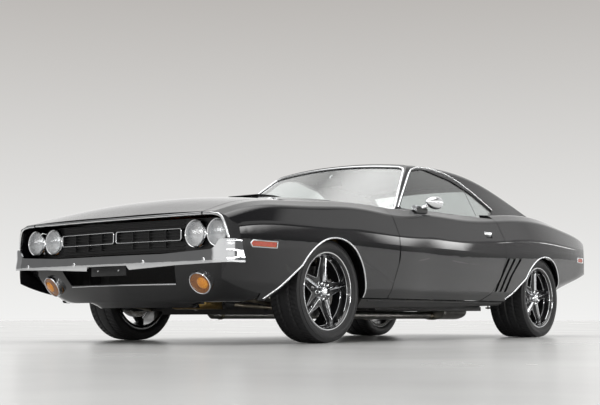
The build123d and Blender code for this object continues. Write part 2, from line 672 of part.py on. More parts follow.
SPOKES = 5
SPOKE_TURN = -9.0
LIP = 13.0               # the rim's outer edge stands this far inside the tyre's sidewall
WELL = 66.0              # the spokes' feet sit this far inside the outer edge
WINDOW = [(88, 0, 8), (182, 108, 12), (233, 0, 211), (182, -108, 12)]


def rim(width):
    """Deep-lipped wheel facing +X, its outer edge at x = 0, made by one turned profile.

    The face is a shallow cone with a raised hub; kite-shaped windows leave five
    star spokes, each with a folded ridge."""
    back = -(width - 2 * LIP)
    profile = Face(Wire([
        Line((RIM_R, 0), (RIM_R - 12, -1)), Line((RIM_R - 12, -1), (RIM_R - 20, -12)),
        Line((RIM_R - 20, -12), (RIM_R - 23, -WELL)), Line((RIM_R - 23, -WELL), (92, -58)),
        Line((92, -58), (72, -52)), Line((72, -52), (30, -50)), Line((30, -50), (27, -42)),
        Line((27, -42), (24, -22)), Line((24, -22), (0, -18)), Line((0, -18), (0, -104)),
        Line((0, -104), (80, -104)),
        Line((80, -104), (96, -84)), Line((96, -84), (RIM_R - 30, -90)),
        Line((RIM_R - 30, -90), (RIM_R - 26, back + 6)), Line((RIM_R - 26, back + 6), (RIM_R - 8, back)),
        Line((RIM_R - 8, back), (RIM_R, back)), Line((RIM_R, back), (RIM_R, 0)),
    ]))
    wheel = revolve(profile, axis=Axis.Y)
    wheel = Rot(0, 0, -90) * wheel
    for i in range(SPOKES):
        turn = Rot(SPOKE_TURN + 36 + 72 * i, 0, 0)
        outline = Face(rounded_wire(WINDOW, lambda a, b: (-160, b, a)))
        wheel -= turn * extrude(outline, amount=200, dir=(1, 0, 0))
        ridge = Polyline((-WELL, -17, 56), (-WELL, 17, 56), (-30, 0, 56), close=True)
        foot = Polyline((-WELL - 14, -27, RIM_R - 21), (-WELL - 14, 27, RIM_R - 21),
                        (-WELL + 24, 0, RIM_R - 21), close=True)
        rib = loft([Face(Wire(ridge)), Face(Wire(foot))], ruled=True)
        wheel += Rot(SPOKE_TURN + 72 * i, 0, 0) * rib
    return wheel


def knuckle(side):
    x = side * KINGPIN_X
    part = Pos(x, FRONT_AXLE, 312) * Cylinder(26, 130)
    part += across(side * (KINGPIN_X + 26), FRONT_AXLE, TYRE_R, 30, 50)
    part += rod((x, FRONT_AXLE, 262), (side * (KINGPIN_X - 45), FRONT_AXLE + 150, 258), 13)
    return part


nodes = {
    "roof_panel": roof_panel,
    "quarter_left": quarter_left,
    "quarter_right": mirrored(quarter_left),
    "fender_left": fender_left,
    "fender_right": mirrored(fender_left),
    "floor_pan": floor_pan,
    "cowl_panel": cowl_panel,
    "front_valance": front_valance,
    "tail_panel": tail_panel,
    "grille": grille,
    "headlamps": headlamps,
    "marker_lamps": marker_lamps,
    "tail_lamps": tail_lamps,
    "front_bumper": front_bumper,
    "rear_bumper": rear_bumper,
    "windshield": windshield,
    "rear_window": rear_window,
    "quarter_windows": quarter_windows,
    "mirror_left": mirror_left,
    "front_seats": front_seats,
    "rear_seat": rear_seat,
    "dashboard": dashboard,
    "engine_block": engine_block,
    "driveline": driveline,
    "leaf_springs": leaf_springs,
    "exhaust": exhaust,
    "fuel_tank": fuel_tank,
    "front_suspension": front_suspension,
    "door_left": door_left,
    "door_right": mirrored(door_left),
    "door_glass_left": door_glass_left,
    "door_glass_right": mirrored(door_glass_left),
    "hood": hood,
    "trunk_lid": trunk_lid,
    "steering_wheel": steering_wheel,
    "knuckle_left": knuckle(1),
    "knuckle_right": knuckle(-1),
}
FRONT_RIM, REAR_RIM = rim(FRONT_TYRE_W), rim(REAR_TYRE_W)
WHEELS = {"fl": (1, FRONT_AXLE), "fr": (-1, FRONT_AXLE), "rl": (1, REAR_AXLE), "rr": (-1, REAR_AXLE)}
for key, (side, y) in WHEELS.items():
    width, wheel = (FRONT_TYRE_W, FRONT_RIM) if y == FRONT_AXLE else (REAR_TYRE_W, REAR_RIM)
    placed = Pos(TYRE_OUT - LIP, y, TYRE_R) * wheel
    nodes["rim_" + key] = placed if side > 0 else mirrored(placed)
    nodes["tyre_" + key] = tyre(side * (TYRE_OUT - width / 2), y, width)

os.makedirs("parts", exist_ok=True)
for name, shape in nodes.items():
    export_step(shape, f"parts/{name}.step")
    print(name, len(shape.solids()), round(shape.volume / 1e6, 2))
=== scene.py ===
import json
import math
import bmesh
import bpy
from mathutils import Matrix, Vector
from mathutils.bvhtree import BVHTree


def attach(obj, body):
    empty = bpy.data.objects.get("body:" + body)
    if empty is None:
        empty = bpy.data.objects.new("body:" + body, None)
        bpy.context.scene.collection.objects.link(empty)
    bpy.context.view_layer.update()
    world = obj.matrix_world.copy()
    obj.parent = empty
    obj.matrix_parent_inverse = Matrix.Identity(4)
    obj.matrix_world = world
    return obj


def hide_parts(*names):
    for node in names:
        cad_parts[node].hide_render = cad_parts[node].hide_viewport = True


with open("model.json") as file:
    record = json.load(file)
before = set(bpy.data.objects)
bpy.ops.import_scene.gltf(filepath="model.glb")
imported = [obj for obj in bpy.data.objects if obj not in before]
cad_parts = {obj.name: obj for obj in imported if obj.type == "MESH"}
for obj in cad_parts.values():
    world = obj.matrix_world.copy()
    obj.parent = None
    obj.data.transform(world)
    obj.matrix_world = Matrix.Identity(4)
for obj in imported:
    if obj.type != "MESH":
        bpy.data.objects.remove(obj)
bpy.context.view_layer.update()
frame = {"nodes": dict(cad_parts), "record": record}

# Muscle car, two-door hardtop. Metres, +Z up, nose towards -Y, +X is the car's left side.

# ---------------------------------------------------------------- driving sizes
FRONT_AXLE = -1.455
REAR_AXLE = 1.339
WHEEL_Z = 0.315
TYRE_R = 0.315
RIM_R = 0.240
RIM_EDGE = 0.908             # outer edge of every rim
TYRE_OUT = 0.921
FRONT_TYRE_W = 0.225
REAR_TYRE_W = 0.302
SPOKES = 5
SPOKE_TURN = math.radians(9)
ARCH_R = 0.346
ARCH_Z = 0.284
ARCH_SHIFT = 0.020
SIDES = ((1, "left"), (-1, "right"))
LEFT, FORE, AFT = (1, 0, 0), (0, -1, 0), (0, 1, 0)
UP, DOWN = (0, 0, 1), (0, 0, -1)

# ---------------------------------------------------------------- camera
CAMERA_AT = (5.048, -6.936, 0.149)
CAMERA_YAW = 38.488          # degrees
CAMERA_PITCH = 5.859
CAMERA_LENS = 67.826

camera_data = bpy.data.cameras.new("camera")
camera = bpy.data.objects.new("camera", camera_data)
bpy.context.scene.collection.objects.link(camera)
camera_data.lens = CAMERA_LENS
camera_data.sensor_width = 36
camera_data.clip_start = 0.05
camera_data.clip_end = 200
camera.location = CAMERA_AT
camera.rotation_euler = (math.radians(90 + CAMERA_PITCH), 0, math.radians(CAMERA_YAW))
bpy.context.scene.camera = camera
bpy.context.scene.view_settings.view_transform = "Standard"


# ---------------------------------------------------------------- materials
def finish(name, colour, other=None, grain=40.0, rough=(0.3, 0.5), metal=0.0, bump=0.0,
           bump_grain=300.0, coat=0.0, coat_rough=0.03, stretch=(1, 1, 1), **sockets):
    """Principled surface whose colour, gloss and relief vary with noise laid in metres."""
    material = bpy.data.materials.new(name)
    material.use_nodes = True
    nodes, links = material.node_tree.nodes, material.node_tree.links
    shader = nodes["Principled BSDF"]
    place = nodes.new("ShaderNodeTexCoord")
    mapping = nodes.new("ShaderNodeMapping")
    mapping.inputs["Scale"].default_value = stretch
    links.new(place.outputs["Object"], mapping.inputs["Vector"])
    noise = nodes.new("ShaderNodeTexNoise")
    noise.inputs["Scale"].default_value = grain
    noise.inputs["Detail"].default_value = 4
    links.new(mapping.outputs["Vector"], noise.inputs["Vector"])
    ramp = nodes.new("ShaderNodeValToRGB")
    ramp.color_ramp.elements[0].position = 0.35
    ramp.color_ramp.elements[1].position = 0.65
    ramp.color_ramp.elements[0].color = (*colour, 1)
    ramp.color_ramp.elements[1].color = (*(other or colour), 1)
    links.new(noise.outputs["Fac"], ramp.inputs["Fac"])
    links.new(ramp.outputs["Color"], shader.inputs["Base Color"])
    gloss = nodes.new("ShaderNodeMapRange")
    gloss.inputs["To Min"].default_value = rough[0]
    gloss.inputs["To Max"].default_value = rough[1]
    links.new(noise.outputs["Fac"], gloss.inputs["Value"])
    links.new(gloss.outputs["Result"], shader.inputs["Roughness"])
    shader.inputs["Metallic"].default_value = metal
    if coat:
        shader.inputs["Coat Weight"].default_value = coat
        shader.inputs["Coat Roughness"].default_value = coat_rough
    if bump:
        fine = nodes.new("ShaderNodeTexNoise")
        fine.inputs["Scale"].default_value = bump_grain
        fine.inputs["Detail"].default_value = 3
        links.new(mapping.outputs["Vector"], fine.inputs["Vector"])
        relief = nodes.new("ShaderNodeBump")
        relief.inputs["Strength"].default_value = 1.0
        relief.inputs["Distance"].default_value = bump
        links.new(fine.outputs["Fac"], relief.inputs["Height"])
        links.new(relief.outputs["Normal"], shader.inputs["Normal"])
    for socket, value in sockets.items():
        shader.inputs[socket.replace("_", " ")].default_value = value
    return material


PAINT = finish("black_paint", (0.003, 0.003, 0.004), (0.005, 0.005, 0.006), 900, (0.25, 0.35),
               bump=0.000004, bump_grain=250, coat=1.0, coat_rough=0.012, Specular_IOR_Level=0.05)
CHROME = finish("chrome", (0.80, 0.81, 0.83), (0.86, 0.87, 0.88), 6, (0.03, 0.07), 1.0)
WHEEL = finish("polished_alloy", (0.66, 0.67, 0.69), (0.76, 0.77, 0.78), 30, (0.07, 0.14), 1.0)
WHEEL_DARK = finish("wheel_black", (0.008, 0.008, 0.009), (0.014, 0.014, 0.015), 60, (0.12, 0.2),
                    coat=0.8, coat_rough=0.05)
RUBBER = finish("tyre_rubber", (0.008, 0.008, 0.009), (0.016, 0.016, 0.017), 90, (0.45, 0.62),
                bump=0.0003, bump_grain=500)
SEAL = finish("seal_rubber", (0.006, 0.006, 0.006), (0.012, 0.012, 0.012), 120, (0.5, 0.7))
UNDER = finish("underbody_black", (0.010, 0.010, 0.011), (0.030, 0.029, 0.028), 14, (0.35, 0.7),
               bump=0.0006, bump_grain=120)
GRILLE_BLACK = finish("grille_black", (0.012, 0.012, 0.012), (0.020, 0.020, 0.021), 80, (0.3, 0.45))
CAST = finish("cast_metal", (0.20, 0.19, 0.18), (0.36, 0.35, 0.33), 30, (0.35, 0.55), 1.0,
              bump=0.0008, bump_grain=180)
STEEL = finish("bare_steel", (0.30, 0.26, 0.20), (0.46, 0.41, 0.33), 20, (0.25, 0.45), 1.0)
GOLD = finish("zinc_yellow", (0.52, 0.33, 0.10), (0.66, 0.47, 0.20), 18, (0.25, 0.45), 1.0)
EXHAUST = finish("aluminised_steel", (0.42, 0.41, 0.39), (0.55, 0.54, 0.51), 12, (0.25, 0.45), 1.0)
ENGINE = finish("engine_orange", (0.55, 0.10, 0.02), (0.62, 0.13, 0.03), 20, (0.25, 0.4),
                bump=0.0005, bump_grain=150, coat=0.4)
VINYL = finish("black_vinyl", (0.012, 0.012, 0.012), (0.022, 0.021, 0.021), 60, (0.35, 0.5),
               bump=0.0004, bump_grain=700)
PLASTIC = finish("grained_plastic", (0.012, 0.012, 0.012), (0.020, 0.020, 0.020), 90, (0.45, 0.6),
                 bump=0.0003, bump_grain=900)
CARPET = finish("carpet", (0.012, 0.012, 0.013), (0.030, 0.030, 0.031), 800, (0.85, 1.0),
                bump=0.002, bump_grain=1200)
HEADLINER = finish("headliner", (0.30, 0.30, 0.29), (0.36, 0.36, 0.35), 300, (0.7, 0.9),
                   bump=0.0005, bump_grain=1500)
GLASS = finish("window_glass", (0.84, 0.88, 0.87), (0.87, 0.90, 0.89), 3, (0.0, 0.01),
               coat=1.0, coat_rough=0.0, Transmission_Weight=1.0, IOR=1.5)
AMBER = finish("amber_lens", (0.90, 0.33, 0.02), (0.95, 0.42, 0.04), 60, (0.05, 0.12),
               Transmission_Weight=0.6)
RED = finish("red_lens", (0.42, 0.010, 0.008), (0.55, 0.016, 0.012), 60, (0.06, 0.14), coat=0.6)
MARKER_RED = finish("marker_red", (0.42, 0.045, 0.02), (0.55, 0.07, 0.03), 90, (0.1, 0.2), coat=0.6)
GAUGE = finish("gauge_face", (0.010, 0.010, 0.012), (0.05, 0.05, 0.05), 400, (0.3, 0.4), coat=0.5)
BRAKE = finish("brake_iron", (0.25, 0.25, 0.25), (0.42, 0.41, 0.40), 12, (0.2, 0.4), 1.0,
               stretch=(1, 12, 12))

SLOTS = {
    "body_paint": PAINT, "chrome_trim": CHROME, "black_underbody": UNDER,
    "grille_black": GRILLE_BLACK, "lamp_glass": CHROME, "amber_lens": AMBER, "red_lens": RED,
    "window_glass": GLASS, "seat_vinyl": VINYL, "dash_plastic": PLASTIC, "cast_metal": CAST,
    "chassis_steel": UNDER, "exhaust_steel": EXHAUST, "wheel_chrome": WHEEL_DARK, "tyre_rubber": RUBBER,
}


def node_object(name):
    item = frame["nodes"][name]
    return bpy.data.objects[item] if isinstance(item, str) else item


for entry in frame["record"]["subparts"]:
    thing = node_object(entry["node"])
    thing.data.materials.clear()
    thing.data.materials.append(SLOTS[entry["material_slot"]])


# ---------------------------------------------------------------- building helpers
WELD = 0.00002               # points nearer than this are joined
SHARP = 38                   # degrees between faces that show as an edge


def span(first, last, steps):
    """Even numbers from first to last, both included."""
    return [first + (last - first) * i / steps for i in range(steps + 1)]


def between(points, steps, closed=False):
    """Points set evenly along the straight runs of a route, without its last end."""
    ends = points[1:] + (points[:1] if closed else [])
    return [tuple(a + (b - a) * k / steps for a, b in zip(p, q))
            for p, q in zip(points, ends) for k in range(steps)]


def turn_angles(count):
    return [2 * math.pi * i / count for i in range(count)]


def mirrored(point, side):
    return (side * point[0], point[1], point[2])


def piece(name, vertices, faces, material, body="root"):
    mesh = bpy.data.meshes.new(name)
    mesh.from_pydata([tuple(v) for v in vertices], [], faces)
    work = bmesh.new()
    work.from_mesh(mesh)
    bmesh.ops.remove_doubles(work, verts=work.verts, dist=WELD)
    bmesh.ops.recalc_face_normals(work, faces=work.faces)
    work.to_mesh(mesh)
    work.free()
    mesh.materials.append(material)
    mesh.shade_smooth()
    mesh.set_sharp_from_angle(angle=math.radians(SHARP))
    item = bpy.data.objects.new(name, mesh)
    bpy.context.scene.collection.objects.link(item)
    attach(item, body)
    return item


def grid_faces(rows, columns, wrap_rows=False, wrap_columns=False, start=0):
    faces = []
    for i in range(rows if wrap_rows else rows - 1):
        for j in range(columns if wrap_columns else columns - 1):
            k, m = (i + 1) % rows, (j + 1) % columns
            faces.append((start + i * columns + j, start + i * columns + m,
                          start + k * columns + m, start + k * columns + j))
    return faces


def turned(name, profile, centre, axis, material, body="root", steps=48, side=1):
    """Profile of (radius, distance along the axis) turned about the axis: a ring where it starts off it."""
    centre = Vector(mirrored(centre, side))
    axis = Vector(mirrored(axis, side)).normalized()
    first = axis.orthogonal().normalized()
    second = axis.cross(first)
    vertices = [centre + axis * along + (first * (radius * math.cos(a)) + second * (radius * math.sin(a)))
                for radius, along in profile for a in turn_angles(steps)]
    ring = profile[0][0] > 0.001
    faces = grid_faces(len(profile), steps, wrap_rows=ring, wrap_columns=True)
    if not ring:
        faces.append(tuple((len(profile) - 1) * steps + i for i in range(steps)))
    return piece(name, vertices, faces, material, body)


def swept(name, points, section, material, body="root", closed=False):
    """Section of (across, out) corners carried along points, each with its outward normal."""
    vertices = []
    count = len(points)
    for i, (point, normal) in enumerate(points):
        before = points[(i - 1) % count][0] if closed or i else point
        after = points[(i + 1) % count][0] if closed or i < count - 1 else point
        run = (Vector(after) - Vector(before)).normalized()
        out = (Vector(normal) - run * run.dot(Vector(normal))).normalized()
        across = run.cross(out)
        for a, b in section:
            vertices.append(Vector(point) + across * a + out * b)
    faces = grid_faces(count, len(section), wrap_rows=closed, wrap_columns=True)
    if not closed:
        faces.append(tuple(range(len(section))))
        faces.append(tuple((count - 1) * len(section) + i for i in range(len(section))))
    return piece(name, vertices, faces, material, body)


def half_round(width, height, sunk=0.001, steps=6):
    """Moulding section: half an ellipse over the surface with a foot just under it."""
    top = [(-width / 2 * math.cos(a), height * math.sin(a)) for a in span(0, math.pi, steps)]
    return top + [(width / 2, -sunk), (-width / 2, -sunk)]


def round_section(radius, steps=10):
    return [(radius * math.cos(a), radius * math.sin(a)) for a in turn_angles(steps)]


def tube(name, points, radius, material, body="root", smooth_steps=6, side=1):
    """Round bar along a few points, its corners eased by a Catmull curve."""
    path = [Vector(mirrored(p, side)) for p in points]
    fine = []
    for i in range(len(path) - 1):
        p0, p1 = path[max(i - 1, 0)], path[i]
        p2, p3 = path[i + 1], path[min(i + 2, len(path) - 1)]
        for k in range(smooth_steps):
            t = k / smooth_steps
            fine.append(0.5 * (2 * p1 + (p2 - p0) * t + (2 * p0 - 5 * p1 + 4 * p2 - p3) * t * t
                               + (3 * p1 - p0 - 3 * p2 + p3) * t * t * t))
    fine.append(path[-1])
    normal = UP if abs((path[-1] - path[0]).normalized().z) < 0.9 else AFT
    return swept(name, [(p, normal) for p in fine], round_section(radius), material, body)


def block(name, low, high, material, body="root", bevel=0.004, segments=2, side=1):
    """Box between two corners, with rounded edges."""
    corners = list(zip(mirrored(low, side), mirrored(high, side)))
    low, high = Vector([min(c) for c in corners]), Vector([max(c) for c in corners])
    size, centre = high - low, (high + low) / 2
    work = bmesh.new()
    bmesh.ops.create_cube(work, size=1)
    for v in work.verts:
        v.co = Vector((v.co.x * size.x, v.co.y * size.y, v.co.z * size.z)) + centre
    bmesh.ops.bevel(work, geom=work.edges[:], offset=min(bevel, min(size) * 0.45),
                    segments=segments, affect="EDGES", profile=0.5)
    vertices = [v.co.copy() for v in work.verts]
    faces = [tuple(v.index for v in f.verts) for f in work.faces]
    work.free()
    return piece(name, vertices, faces, material, body)


def thicken(item, thickness):
    thick = item.modifiers.new("thick", "SOLIDIFY")
    thick.thickness = thickness
    thick.offset = 0


def moved(item, matrix):
    item.data.transform(matrix)
    return item


def surfaces(*names):
    """Search tree over CAD nodes, for setting trim on their faces."""
    vertices, faces = [], []
    for name in names:
        mesh = node_object(name).data
        start = len(vertices)
        vertices += [v.co.copy() for v in mesh.vertices]
        faces += [tuple(start + i for i in p.vertices) for p in mesh.polygons]
    return BVHTree.FromPolygons(vertices, faces)


def hit(tree, origin, direction):
    point, normal, _, _ = tree.ray_cast(Vector(origin), Vector(direction).normalized())
    if point is None:
        return None
    return point, (normal if normal.dot(Vector(direction)) < 0 else -normal)


def from_side(side, points):
    """Rays at (y, z) points from outside the car's flank."""
    return [((1.5 * side, y, z), (-side, 0, 0)) for y, z in points]


def from_end(points, side=1, end=-1):
    """Rays at (x, z) points from before the nose (-1) or behind the tail (1)."""
    return [((side * x, 3.0 * end, z), (0, -end, 0)) for x, z in points]


def from_below(points, side=1):
    """Rays at (x, y) points, up to the inside of a lid."""
    return [((side * x, y, 0.3), UP) for x, y in points]


def trim_along(name, tree, rays, section, material=CHROME, body="root", closed=False):
    """Moulding on the first faces that the rays meet."""
    points = [found for found in (hit(tree, o, d) for o, d in rays) if found]
    return swept(name, points, section, material, body, closed)


# ---------------------------------------------------------------- bright trim on the body
def arch_points(axle, grow, front_reach):
    """Points (y, z) round a wheel opening, from the rear foot over the top to the front foot."""
    centre = axle + ARCH_SHIFT
    radius = ARCH_R + grow
    angles = span(0, math.radians(150), 30)
    arc = [(centre + radius * math.cos(a), ARCH_Z + radius * math.sin(a)) for a in angles]
    foot = (axle + front_reach - grow * 0.8, 0.262)
    return [(centre + radius, ARCH_Z - 0.055)] + arc[:-1] + between([arc[-1], foot], 6) + [foot]


def arch_lips():
    for side, word in SIDES:
        for label, nodes, axle, reach in (("front", ("fender_", "door_"), FRONT_AXLE, -0.540),
                                          ("rear", ("quarter_",), REAR_AXLE, -0.615)):
            tree = surfaces(*(node + word for node in nodes))
            rays = from_side(side, arch_points(axle, 0.006, reach))
            trim_along(f"arch_lip_{label}_{word}", tree, rays, half_round(0.011, 0.006))


def drip_rails():
    """Gutter over the side glass, from the windshield's foot to the quarter glass."""
    route = [(-0.500, 0.903), (-0.300, 1.058), (-0.140, 1.183), (-0.080, 1.222), (0.020, 1.249),
             (0.200, 1.258), (0.400, 1.236), (0.560, 1.184), (0.700, 1.114), (0.830, 1.030),
             (0.912, 0.975)]
    tree = surfaces("roof_panel")
    for side, word in SIDES:
        trim_along("drip_rail_" + word, tree, from_side(side, between(route, 4)), half_round(0.012, 0.011))


def screen_rays(base, top, half, steps=14):
    """Rays down on a screen's outline (across, up), set on the sloping plane through base and top."""
    run = Vector((0, top[0] - base[0], top[1] - base[1])).normalized()
    out = Vector(LEFT).cross(run)
    if out.z < 0:
        out = -out
    outline = half + [(-a, b) for a, b in reversed(half)]
    return [(Vector((0, *base)) + Vector(LEFT) * a + run * b + out * 0.4, -out)
            for a, b in between(outline, steps, closed=True)]


def screen_surrounds():
    tree = surfaces("roof_panel", "windshield", "rear_window", "cowl_panel")
    rays = screen_rays((-0.640, 0.928), (-0.150, 1.274),
                       [(0.798, 0.020), (0.606, 0.555), (0.588, 0.584), (0.548, 0.598)])
    trim_along("windshield_trim", tree, rays, half_round(0.020, 0.007), closed=True)
    rays = screen_rays((1.640, 0.985), (0.985, 1.250),
                       [(0.585, 0.018), (0.636, 0.040), (0.640, 0.075), (0.528, 0.565), (0.510, 0.602),
                        (0.470, 0.614)])
    trim_along("rear_window_trim", tree, rays, half_round(0.018, 0.006), closed=True)


def nose_trim():
    """Bright edge round the mouth: over the hood's lip and down beside the outer lamps."""
    section = half_round(0.016, 0.006)
    rays = from_end([(x, 0.7320) for x in span(-0.722, 0.722, 48)])
    trim_along("nose_trim_hood", surfaces("hood"), rays, section, body="hood")
    corner = [(0.734, 0.7315), (0.790, 0.7300), (0.842, 0.722), (0.866, 0.708), (0.881, 0.684),
              (0.893, 0.645), (0.902, 0.604), (0.903, 0.588)]
    for side, word in SIDES:
        trim_along("nose_trim_" + word, surfaces("fender_" + word), from_end(between(corner, 5), side),
                   section)


def chin_trim():
    """Bright lip under the intake in the chin."""
    rays = from_end([(x, 0.3445) for x in span(-0.452, 0.452, 40)])
    trim_along("intake_lip", surfaces("front_valance"), rays, half_round(0.008, 0.005))


def sill_trim():
    tree = surfaces("floor_pan")
    for side, word in SIDES:
        rays = from_side(side, [(y, 0.262) for y in span(-1.02, 0.80, 40)])
        trim_along("sill_bead_" + word, tree, rays, half_round(0.010, 0.004), UNDER)


def door_handles():
    """Pull-up handle: bright paddle with a black strip of painted shade for the finger gap under it, and a
    lock below.
    """
    for side, word in SIDES:
        body = "door_" + word
        x = abs(hit(surfaces(body), *from_side(side, [(0.472, 0.790)])[0])[0].x)
        block("handle_plate_" + word, (x - 0.004, 0.420, 0.742), (x + 0.008, 0.524, 0.786), CHROME, body,
              0.006, 3, side)
        # Black strip on the foot of the plate: painted shade of the finger gap under the paddle.
        block("handle_well_" + word, (x + 0.002, 0.428, 0.744), (x + 0.0095, 0.516, 0.756), SEAL, body,
              side=side)
        turned("door_lock_" + word, [(0.0, 0.006), (0.009, 0.006), (0.011, 0.004), (0.011, -0.004)],
               (x + 0.001, 0.500, 0.722), LEFT, CHROME, body, 20, side)


def side_markers():
    """Bright bezels round the marker lenses; the front one ends in a point."""
    front = [(-2.206, 0.5655), (-2.188, 0.5835), (-1.988, 0.5835), (-1.988, 0.5475), (-2.188, 0.5475)]
    rear = [(2.026, 0.6215), (2.164, 0.6215), (2.164, 0.6585), (2.026, 0.6585)]
    for side, word in SIDES:
        for label, node, outline in (("front", "fender_", front), ("rear", "quarter_", rear)):
            trim_along(f"marker_bezel_{label}_{word}", surfaces(node + word, "marker_lamps"),
                       from_side(side, between(outline, 5, closed=True)), half_round(0.008, 0.006),
                       closed=True)


def marker_lenses():
    """Ribbed red lens on each marker lamp, just proud of its backing."""
    tree = surfaces("marker_lamps")
    rows, columns = 9, 41
    for side, word in SIDES:
        for label, ends, heights in (("front", (-2.197, -1.997), (0.5535, 0.5780)),
                                     ("rear", (2.033, 2.157), (0.6275, 0.6530))):
            vertices = []
            for z in span(*heights, rows - 1):
                for j, y in enumerate(span(*ends, columns - 1)):
                    found = hit(tree, *from_side(side, [(y, z)])[0])
                    x = abs(found[0].x) if found else 0.93
                    rib = 0.0006 if j % 4 < 2 else 0.0
                    vertices.append((side * (x + 0.0012 + rib), y, z))
            piece(f"marker_lens_{label}_{word}", vertices, grid_faces(rows, columns), MARKER_RED)


GRILLE_FRAME = ((0.008, 0.520), (0.590, 0.664))     # x and z of each bright frame


def grille_frames():
    """Bright rounded outline in each half of the grille, over the black bars."""
    tree = surfaces("grille")
    (x0, x1), (z0, z1) = GRILLE_FRAME
    corner = 0.016
    r = corner - 0.0035
    centres = ((x1 - corner, z1 - corner), (x0 + corner, z1 - corner), (x0 + corner, z0 + corner),
               (x1 - corner, z0 + corner))
    outline = [(x + r * math.cos(a), z + r * math.sin(a)) for quarter, (x, z) in enumerate(centres)
               for a in span(quarter * math.pi / 2, (quarter + 1) * math.pi / 2, 7)]
    points = []
    for here, ahead in zip(outline, outline[1:] + outline[:1]):
        points += between([here, ahead], 10 if math.dist(here, ahead) > 0.03 else 1)
    for side, word in SIDES:
        trim_along("grille_frame_" + word, tree, from_end(points, side), half_round(0.0075, 0.004),
                   closed=True)


# ---------------------------------------------------------------- lamps
LAMP_X = (0.617, 0.787)
LAMP_Z = 0.628
LAMP_FACE = -2.306


def headlamp_faces():
    """Fluted lens bowed out of a bright bezel, one object for each lamp."""
    bezel = [(0.0720, 0.002), (0.0730, 0.010), (0.0775, 0.013), (0.0815, 0.009), (0.0838, 0.0),
             (0.0838, -0.050)]
    lens = [(max(r, 0.0001), 0.013 + 0.011 * math.cos(math.pi / 2 * k / 8))
            for k, r in enumerate(span(0, 0.0715, 8))]
    for side, word in SIDES:
        for place, x in zip(("inner", "outer"), LAMP_X):
            centre = (x, LAMP_FACE, LAMP_Z)
            turned(f"lamp_bezel_{place}_{word}", bezel, centre, FORE, CHROME, steps=64, side=side)
            item = turned(f"lamp_lens_{place}_{word}", lens, centre, FORE, LAMP_LENS, steps=64, side=side)


def fluted_lens():
    """Headlamp glass read from outside: upright flutes over a silver bowl."""
    material = finish("lamp_flutes", (0.62, 0.64, 0.66), (0.80, 0.81, 0.82), 9, (0.12, 0.22), 0.85,
                      coat=1.0, coat_rough=0.02)
    nodes, links = material.node_tree.nodes, material.node_tree.links
    place = nodes.new("ShaderNodeTexCoord")
    wave = nodes.new("ShaderNodeTexWave")
    wave.wave_type = "BANDS"
    wave.bands_direction = "X"
    wave.inputs["Scale"].default_value = 40
    wave.inputs["Distortion"].default_value = 0.4
    links.new(place.outputs["Object"], wave.inputs["Vector"])
    relief = nodes.new("ShaderNodeBump")
    relief.inputs["Strength"].default_value = 0.6
    relief.inputs["Distance"].default_value = 0.004
    links.new(wave.outputs["Fac"], relief.inputs["Height"])
    links.new(relief.outputs["Normal"], nodes["Principled BSDF"].inputs["Normal"])
    return material


LAMP_LENS = fluted_lens()


def parking_lamps():
    """Round lamp in the chin, facing forward and down: bezel, deep amber glass and a brighter bulb cover."""
    aim = Vector((0.12, -0.84, -0.50)).normalized()
    centre = Vector((0.640, -2.290, 0.352)) + aim * 0.008
    bezel = [(0.0620, 0.001), (0.0630, 0.006), (0.0665, 0.008), (0.0700, 0.005), (0.0710, -0.002),
             (0.0710, -0.020)]
    glass = [(0.0001, 0.0070), (0.022, 0.0062), (0.044, 0.0040), (0.063, 0.0005)]
    bulb = [(0.0001, 0.0125), (0.018, 0.0115), (0.030, 0.008), (0.036, 0.002)]
    for side, word in SIDES:
        turned("park_bezel_" + word, bezel, centre, aim, CHROME, steps=56, side=side)
        turned("park_glass_" + word, glass, centre, aim, AMBER_DEEP, steps=48, side=side)
        turned("park_bulb_" + word, bulb, centre + Vector((0.018, 0, 0)), aim, AMBER_BRIGHT, steps=40,
               side=side)


AMBER_DEEP = finish("amber_shade", (0.20, 0.060, 0.006), (0.34, 0.12, 0.012), 120, (0.10, 0.2), coat=0.8)
AMBER_BRIGHT = finish("amber_bulb", (0.80, 0.25, 0.01), (0.95, 0.40, 0.03), 140, (0.15, 0.3), coat=0.8)


# ---------------------------------------------------------------- wheels
WHEELS = (("fl", 1, FRONT_AXLE, FRONT_TYRE_W), ("fr", -1, FRONT_AXLE, FRONT_TYRE_W),
          ("rl", 1, REAR_AXLE, REAR_TYRE_W), ("rr", -1, REAR_AXLE, REAR_TYRE_W))
TREAD_PITCH = 60             # shoulder blocks round a tyre
MAIN_GROOVE = 0.0075         # depths below the tread
CROSS_GROOVE = 0.0055


